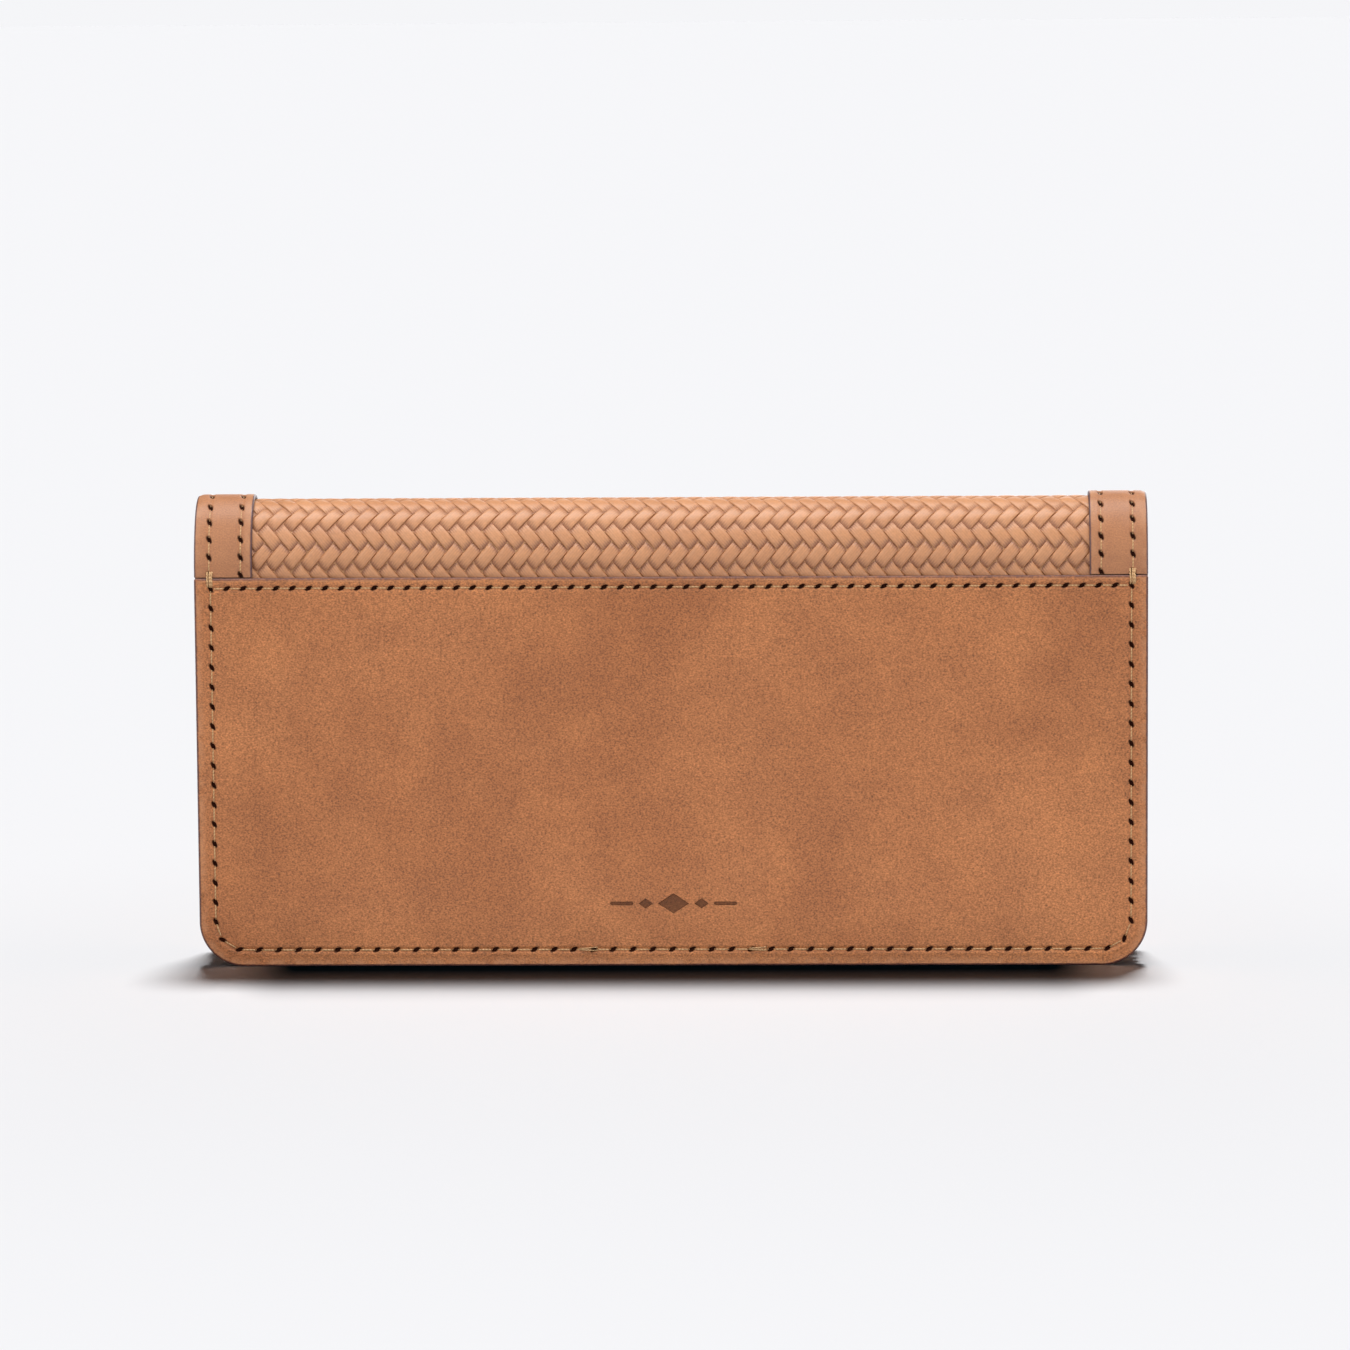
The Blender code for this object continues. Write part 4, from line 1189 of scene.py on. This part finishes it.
def turnedPiece(name, profile, centre, body, node, segments=64):
    # profile: radius and depth, from the axis round and back to the axis, or round a closed ring
    x, z = centre
    a = 2 * math.pi * np.arange(segments) / segments
    rings = [np.stack([x + r * np.cos(a), np.full(segments, y), z + r * np.sin(a)], 1) for r, y in profile]
    ring = profile[0] == profile[-1]
    skin = Skin()
    skin.add(np.concatenate(rings), gridFaces(len(profile), segments, wrap=True) if ring
             else tubeFaces(len(profile), segments))
    made = skin.build(name, "brass")
    bm = bmesh.new()
    bm.from_mesh(made.data)
    bmesh.ops.remove_doubles(bm, verts=bm.verts, dist=1e-6)
    bmesh.ops.recalc_face_normals(bm, faces=bm.faces)
    bm.to_mesh(made.data)
    bm.free()
    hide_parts(node)
    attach(made, body)
    sharpen(made, 50)


def snapFastener():
    look = snapLook
    axis, shank, hole, lip = look["axis"], look["shank"], look["socketHole"], look["socketLip"]
    neck, bulb, pin = look["neck"], look["bulb"], look["post"]
    low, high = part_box("snap_cap")
    centre = (0, (low.z + high.z) / 2)

    def ends(node):  # its radius, and its two depths
        low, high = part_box(node)
        return (high.z - low.z) / 2, low.y, high.y

    r, y0, y1 = ends("snap_cap")
    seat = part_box("flap_band")[1].y + 0.05 * mm
    cap = [(axis, y0), (shank, y0), (shank, seat), (r - 0.5 * mm, seat), (r - 0.12 * mm, seat + 0.1 * mm),
           (r, seat + 0.35 * mm), (r - 0.08 * mm, seat + 0.6 * mm), (r - 0.55 * mm, seat + 0.82 * mm),
           (r - 0.85 * mm, seat + 0.78 * mm)]
    dome = seat + 0.8 * mm
    turns = np.radians(np.linspace(0, 88, 10))
    cap += [(0.86 * r * math.cos(a), dome + (y1 - dome) * math.sin(a)) for a in turns]
    turnedPiece("snapCap", cap, centre, "flap", "snap_cap")
    r, y0, y1 = ends("snap_socket")
    socket = [(hole, y1), (r - 0.2 * mm, y1), (r, y1 - 0.2 * mm), (r, y0 + 0.5 * mm),
              (r - 0.3 * mm, y0 + 0.15 * mm), (r - 0.9 * mm, y0), (lip + 0.4 * mm, y0),
              (lip + 0.05 * mm, y0 + 0.15 * mm), (lip, y0 + 0.35 * mm), (lip, y1 - 0.3 * mm),
              (hole, y1 - 0.3 * mm), (hole, y1)]
    turnedPiece("snapSocket", socket, centre, "flap", "snap_socket")
    r, y0, y1 = ends("snap_stud")
    stud = [(axis, y0), (r - 0.15 * mm, y0), (r, y0 + 0.12 * mm), (r - 0.1 * mm, y0 + 0.3 * mm),
            (r - 1.2 * mm, y0 + 0.42 * mm), (neck + 0.25 * mm, y0 + 0.44 * mm), (neck, y0 + 0.6 * mm),
            (neck, y1 - 0.85 * mm), (bulb, y1 - 0.5 * mm), (bulb - 0.08 * mm, y1 - 0.25 * mm),
            (bulb - 0.5 * mm, y1 - 0.05 * mm), (1.5 * mm, y1), (0.9 * mm, y1 - 0.12 * mm),
            (axis, y1 - 0.15 * mm)]
    turnedPiece("snapStud", stud, centre, "front", "snap_stud")
    r, y0, y1 = ends("snap_post")
    post = [(axis, y0), (r - 0.2 * mm, y0), (r, y0 + 0.15 * mm), (r, y0 + 0.32 * mm), (pin, y0 + 0.35 * mm),
            (pin, y1), (axis, y1)]
    turnedPiece("snapPost", post, centre, "front", "snap_post")


zipLook = {
    "pitch": 2.0 * mm, "tooth": 1.15 * mm, "overlap": 0.28 * mm, "root": 0.8 * mm, "neck": 0.62, "head": 0.85,
    "softTooth": 0.14 * mm, "softSlider": 0.16 * mm, "softPull": 0.12 * mm, "softStop": 0.3 * mm,
}


def zipTeeth():
    pitch, w = zipLook["pitch"], zipLook["tooth"] / 2
    for name, side in (("zip_teeth_upper", 1), ("zip_teeth_lower", -1)):
        low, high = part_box(name)
        base, tip = (high.z, low.z) if side > 0 else (low.z, high.z)
        tip = tip - side * zipLook["overlap"]
        half = [(w, base + side * zipLook["root"]), (w, base - side * 0.5 * mm),
                (w * zipLook["neck"], base - side * 0.9 * mm), (w * zipLook["head"], tip + side * 0.15 * mm),
                (w * 0.5, tip)]
        outline = [(-w, half[0][1])] + half + [(-x, z) for x, z in half[:0:-1]]
        count = int((high.x - low.x) / pitch) - 1
        bm = bmesh.new()
        for i in range(count):
            x = (i - (count - 1) / 2 + side * 0.25) * pitch
            lower, upper = ([bm.verts.new((x + px, y, pz)) for px, pz in outline] for y in (low.y, high.y))
            bm.faces.new(lower)
            bm.faces.new(upper[::-1])
            for a in range(len(outline)):
                b = (a + 1) % len(outline)
                bm.faces.new((lower[a], upper[a], upper[b], lower[b]))
        bmesh.ops.recalc_face_normals(bm, faces=bm.faces)
        finishMetal(bm, camel(name), "front", name, zipLook["softTooth"])


def finishMetal(bm, name, body, node, softness):
    mesh = bpy.data.meshes.new(name)
    bm.to_mesh(mesh)
    bm.free()
    made = bpy.data.objects.new(name, mesh)
    bpy.context.scene.collection.objects.link(made)
    material, slot = paints["brass"]
    mesh.materials.append(material)
    bevel = made.modifiers.new("softEdges", "BEVEL")
    bevel.width = softness
    bevel.segments = 2
    bevel.limit_method = "ANGLE"
    bevel.angle_limit = math.radians(25)
    solid = bpy.data.meshes.new_from_object(made.evaluated_get(bpy.context.evaluated_depsgraph_get()))
    made.modifiers.clear()
    made.data = solid
    flat = solid.attributes.new("flat", "FLOAT_VECTOR", "POINT")
    flat.data.foreach_set("vector", np.array([v.co for v in solid.vertices], np.float32).ravel())
    solid.polygons.foreach_set("use_smooth", [True] * len(solid.polygons))
    sharpen(made, 35)
    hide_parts(node)
    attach(made, body)


def zipFittings():
    for node, body, softness in (
        ("zip_slider", "slider", "softSlider"),
        ("zip_pull", "pull", "softPull"),
        ("zip_stop_left", "front", "softStop"),
        ("zip_stop_right", "front", "softStop"),
    ):
        bm = bmesh.new()
        bm.from_mesh(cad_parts[node].data)
        bmesh.ops.remove_doubles(bm, verts=bm.verts, dist=1e-6)
        bmesh.ops.dissolve_limit(bm, angle_limit=math.radians(1), verts=bm.verts, edges=bm.edges)
        finishMetal(bm, camel(node), body, node, zipLook[softness])


snapFastener()
zipTeeth()
zipFittings()
print("metal ready")


# floor, light and camera

# the floor's painted shadow: its colour, the share of floor colour left at the wallet's foot (contact) and its
# reach in metres
studio = {
    "floor": (0.860, 0.862, 0.882), "far": (0.915, 0.917, 0.938), "shade": (0.004, 0.016, 0.030),
    "contact": 0.03, "reach": 0.045, "sky": 0.055, "high": 3.34, "highAngle": 74, "highSpread": 12,
}
softboxes = {  # where each stands, what it faces, its width and height in metres, its power in watts
    "keyBox": ((-0.55, -1.15, 0.75), (0, 0, 0.05), (1.0, 0.8), 7.2),
    "fillBox": ((0.7, -1.1, 0.3), (0, 0, 0.05), (0.8, 0.8), 4.6),
    "topBox": ((0.0, -0.15, 1.1), (0, 0, 0.08), (1.3, 0.5), 17.0),
    "behindBox": ((0.35, 1.25, 0.6), (0, 0, 0.05), (1.2, 0.8), 9.0),
    "lowStrip": ((0, -0.062, 0.002), (0, -0.04, 0.05), (0.185, 0.07), 0.02),
    "footStrip": ((0, -0.034, 0.003), (0, -0.0114, 0.009), (0.18, 0.008), 0.008),
    "leftBox": ((-1.3, 0.25, 0.35), (0, 0, 0.05), (0.7, 0.7), 5.0),
    "rightBox": ((1.3, 0.25, 0.35), (0, 0, 0.05), (0.7, 0.7), 5.0),
}
shot = {"azimuth": 2.04, "elevation": 6.62, "roll": -0.43, "distance": 1.153, "lens": 154.3,
        "aim": (0.93 * mm, -11.35 * mm, 58.66 * mm)}


def stagePiece(name, points, faces, material):
    mesh = bpy.data.meshes.new(name)
    mesh.from_pydata(points, [], faces)
    mesh.materials.append(material)
    mesh.polygons.foreach_set("use_smooth", [True] * len(mesh.polygons))
    made = bpy.data.objects.new(name, mesh)
    bpy.context.scene.collection.objects.link(made)
    return made


def floorAndBackdrop():
    # a wide pale floor, darker in front of the wallet both from the real shadow of the high light and from a
    # shadow painted into its colour, and a bright wall far round it
    g = Graph("paleFloor")
    here = g.node("TexCoord", {}, {}, out=3)
    low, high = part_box("back_panel")
    deep = g.node("SeparateXYZ", {}, {0: here}, out=1) - low.y
    ahead = (deep * -1.0).most(deep * 2.2)
    wide = g.node("SeparateXYZ", {}, {0: here}, out=0)
    beside = ((wide.size() - (high.x - 20 * mm)) * 2.6).most(0.0)
    away = (ahead * ahead + beside * beside) ** 0.5
    # painted shadow: the floor colour goes dark in front of and beside the wallet's foot, fading out within
    # reach
    shade = (1.0 - away.between(0.0, studio["reach"])) * (1.0 - studio["contact"])
    # painted shade: a faint darkening of the floor within 0.4 m of the wallet
    shade = shade + (1.0 - away.between(0.0, 0.4)) * 0.06
    soft = g.noise(here, 3.0, 2.0)
    pale = g.blend(soft * 0.03, studio["floor"], (0.82, 0.82, 0.83))
    g.finish(g.blend(shade, pale, studio["shade"]), 0.9, fixed={"Specular IOR Level": 0.0})
    wall = Graph("paleWall")
    wall.finish((0, 0, 0), 1.0, fixed={"Emission Color": (*studio["far"], 1), "Emission Strength": 1.0,
                                       "Specular IOR Level": 0.0})
    count, far, tall = 96, 60.0, 10.0
    ring = [(math.cos(a), math.sin(a)) for a in 2 * math.pi * np.arange(count) / count]
    rim = [(x * far * 1.02, y * far * 1.02, 0) for x, y in ring]
    floor = stagePiece("studioFloor", rim, [tuple(range(count))], g.material)
    backdrop = stagePiece("studioWall", [(x * far, y * far, z) for z in (-0.5, tall) for x, y in ring],
                          [(i, count + i, count + (i + 1) % count, (i + 1) % count) for i in range(count)],
                          wall.material)
    backdrop.visible_shadow = backdrop.visible_diffuse = False
    return floor


def linkLight(light, name, floor, state):
    # a light that lights only the floor, or everything but the floor
    group = bpy.data.collections.new(name)
    group.objects.link(floor)
    group.collection_objects[0].light_linking.link_state = state
    light.light_linking.receiver_collection = group


def softbox(name, at, aim, size, power, floor):
    light = bpy.data.lights.new(name, "AREA")
    light.shape = "RECTANGLE"
    light.size, light.size_y = size
    light.energy = power
    made = bpy.data.objects.new(name, light)
    bpy.context.scene.collection.objects.link(made)
    made.location = at
    made.rotation_euler = (Vector(aim) - Vector(at)).to_track_quat("-Z", "Y").to_euler()
    made.visible_camera = False
    linkLight(made, name + "Reach", floor, "EXCLUDE")


def studioLight(floor):
    world = bpy.data.worlds.new("studio")
    bpy.context.scene.world = world
    world.use_nodes = True
    background = world.node_tree.nodes["Background"]
    background.inputs["Color"].default_value = (1, 1, 1, 1)
    background.inputs["Strength"].default_value = studio["sky"]
    high = bpy.data.lights.new("highLight", "SUN")
    high.energy = studio["high"]
    high.angle = math.radians(studio["highSpread"])
    made = bpy.data.objects.new("highLight", high)
    bpy.context.scene.collection.objects.link(made)
    a = math.radians(studio["highAngle"])
    made.rotation_euler = Vector((0.03, math.cos(a), math.sin(a))).to_track_quat("Z", "Y").to_euler()
    linkLight(made, "highReach", floor, "INCLUDE")
    for name, (at, aim, size, power) in softboxes.items():
        softbox(name, at, aim, size, power, floor)


def placeCamera():
    camera = bpy.data.cameras.new("camera")
    made = bpy.data.objects.new("camera", camera)
    bpy.context.scene.collection.objects.link(made)
    a, e = math.radians(shot["azimuth"]), math.radians(shot["elevation"])
    back = Vector((math.sin(a) * math.cos(e), -math.cos(a) * math.cos(e), math.sin(e)))
    made.location = Vector(shot["aim"]) + back * shot["distance"]
    facing = (-back).to_track_quat("-Z", "Y")
    made.rotation_mode = "QUATERNION"
    turn = facing.to_matrix().to_4x4()
    made.rotation_quaternion = (turn @ Matrix.Rotation(math.radians(shot["roll"]), 4, "Z")).to_quaternion()
    camera.sensor_width = 36.0
    camera.lens = shot["lens"]
    camera.clip_start, camera.clip_end = 0.05, 300
    bpy.context.scene.camera = made


studioLight(floorAndBackdrop())
placeCamera()
bpy.context.scene.view_settings.view_transform = "Standard"
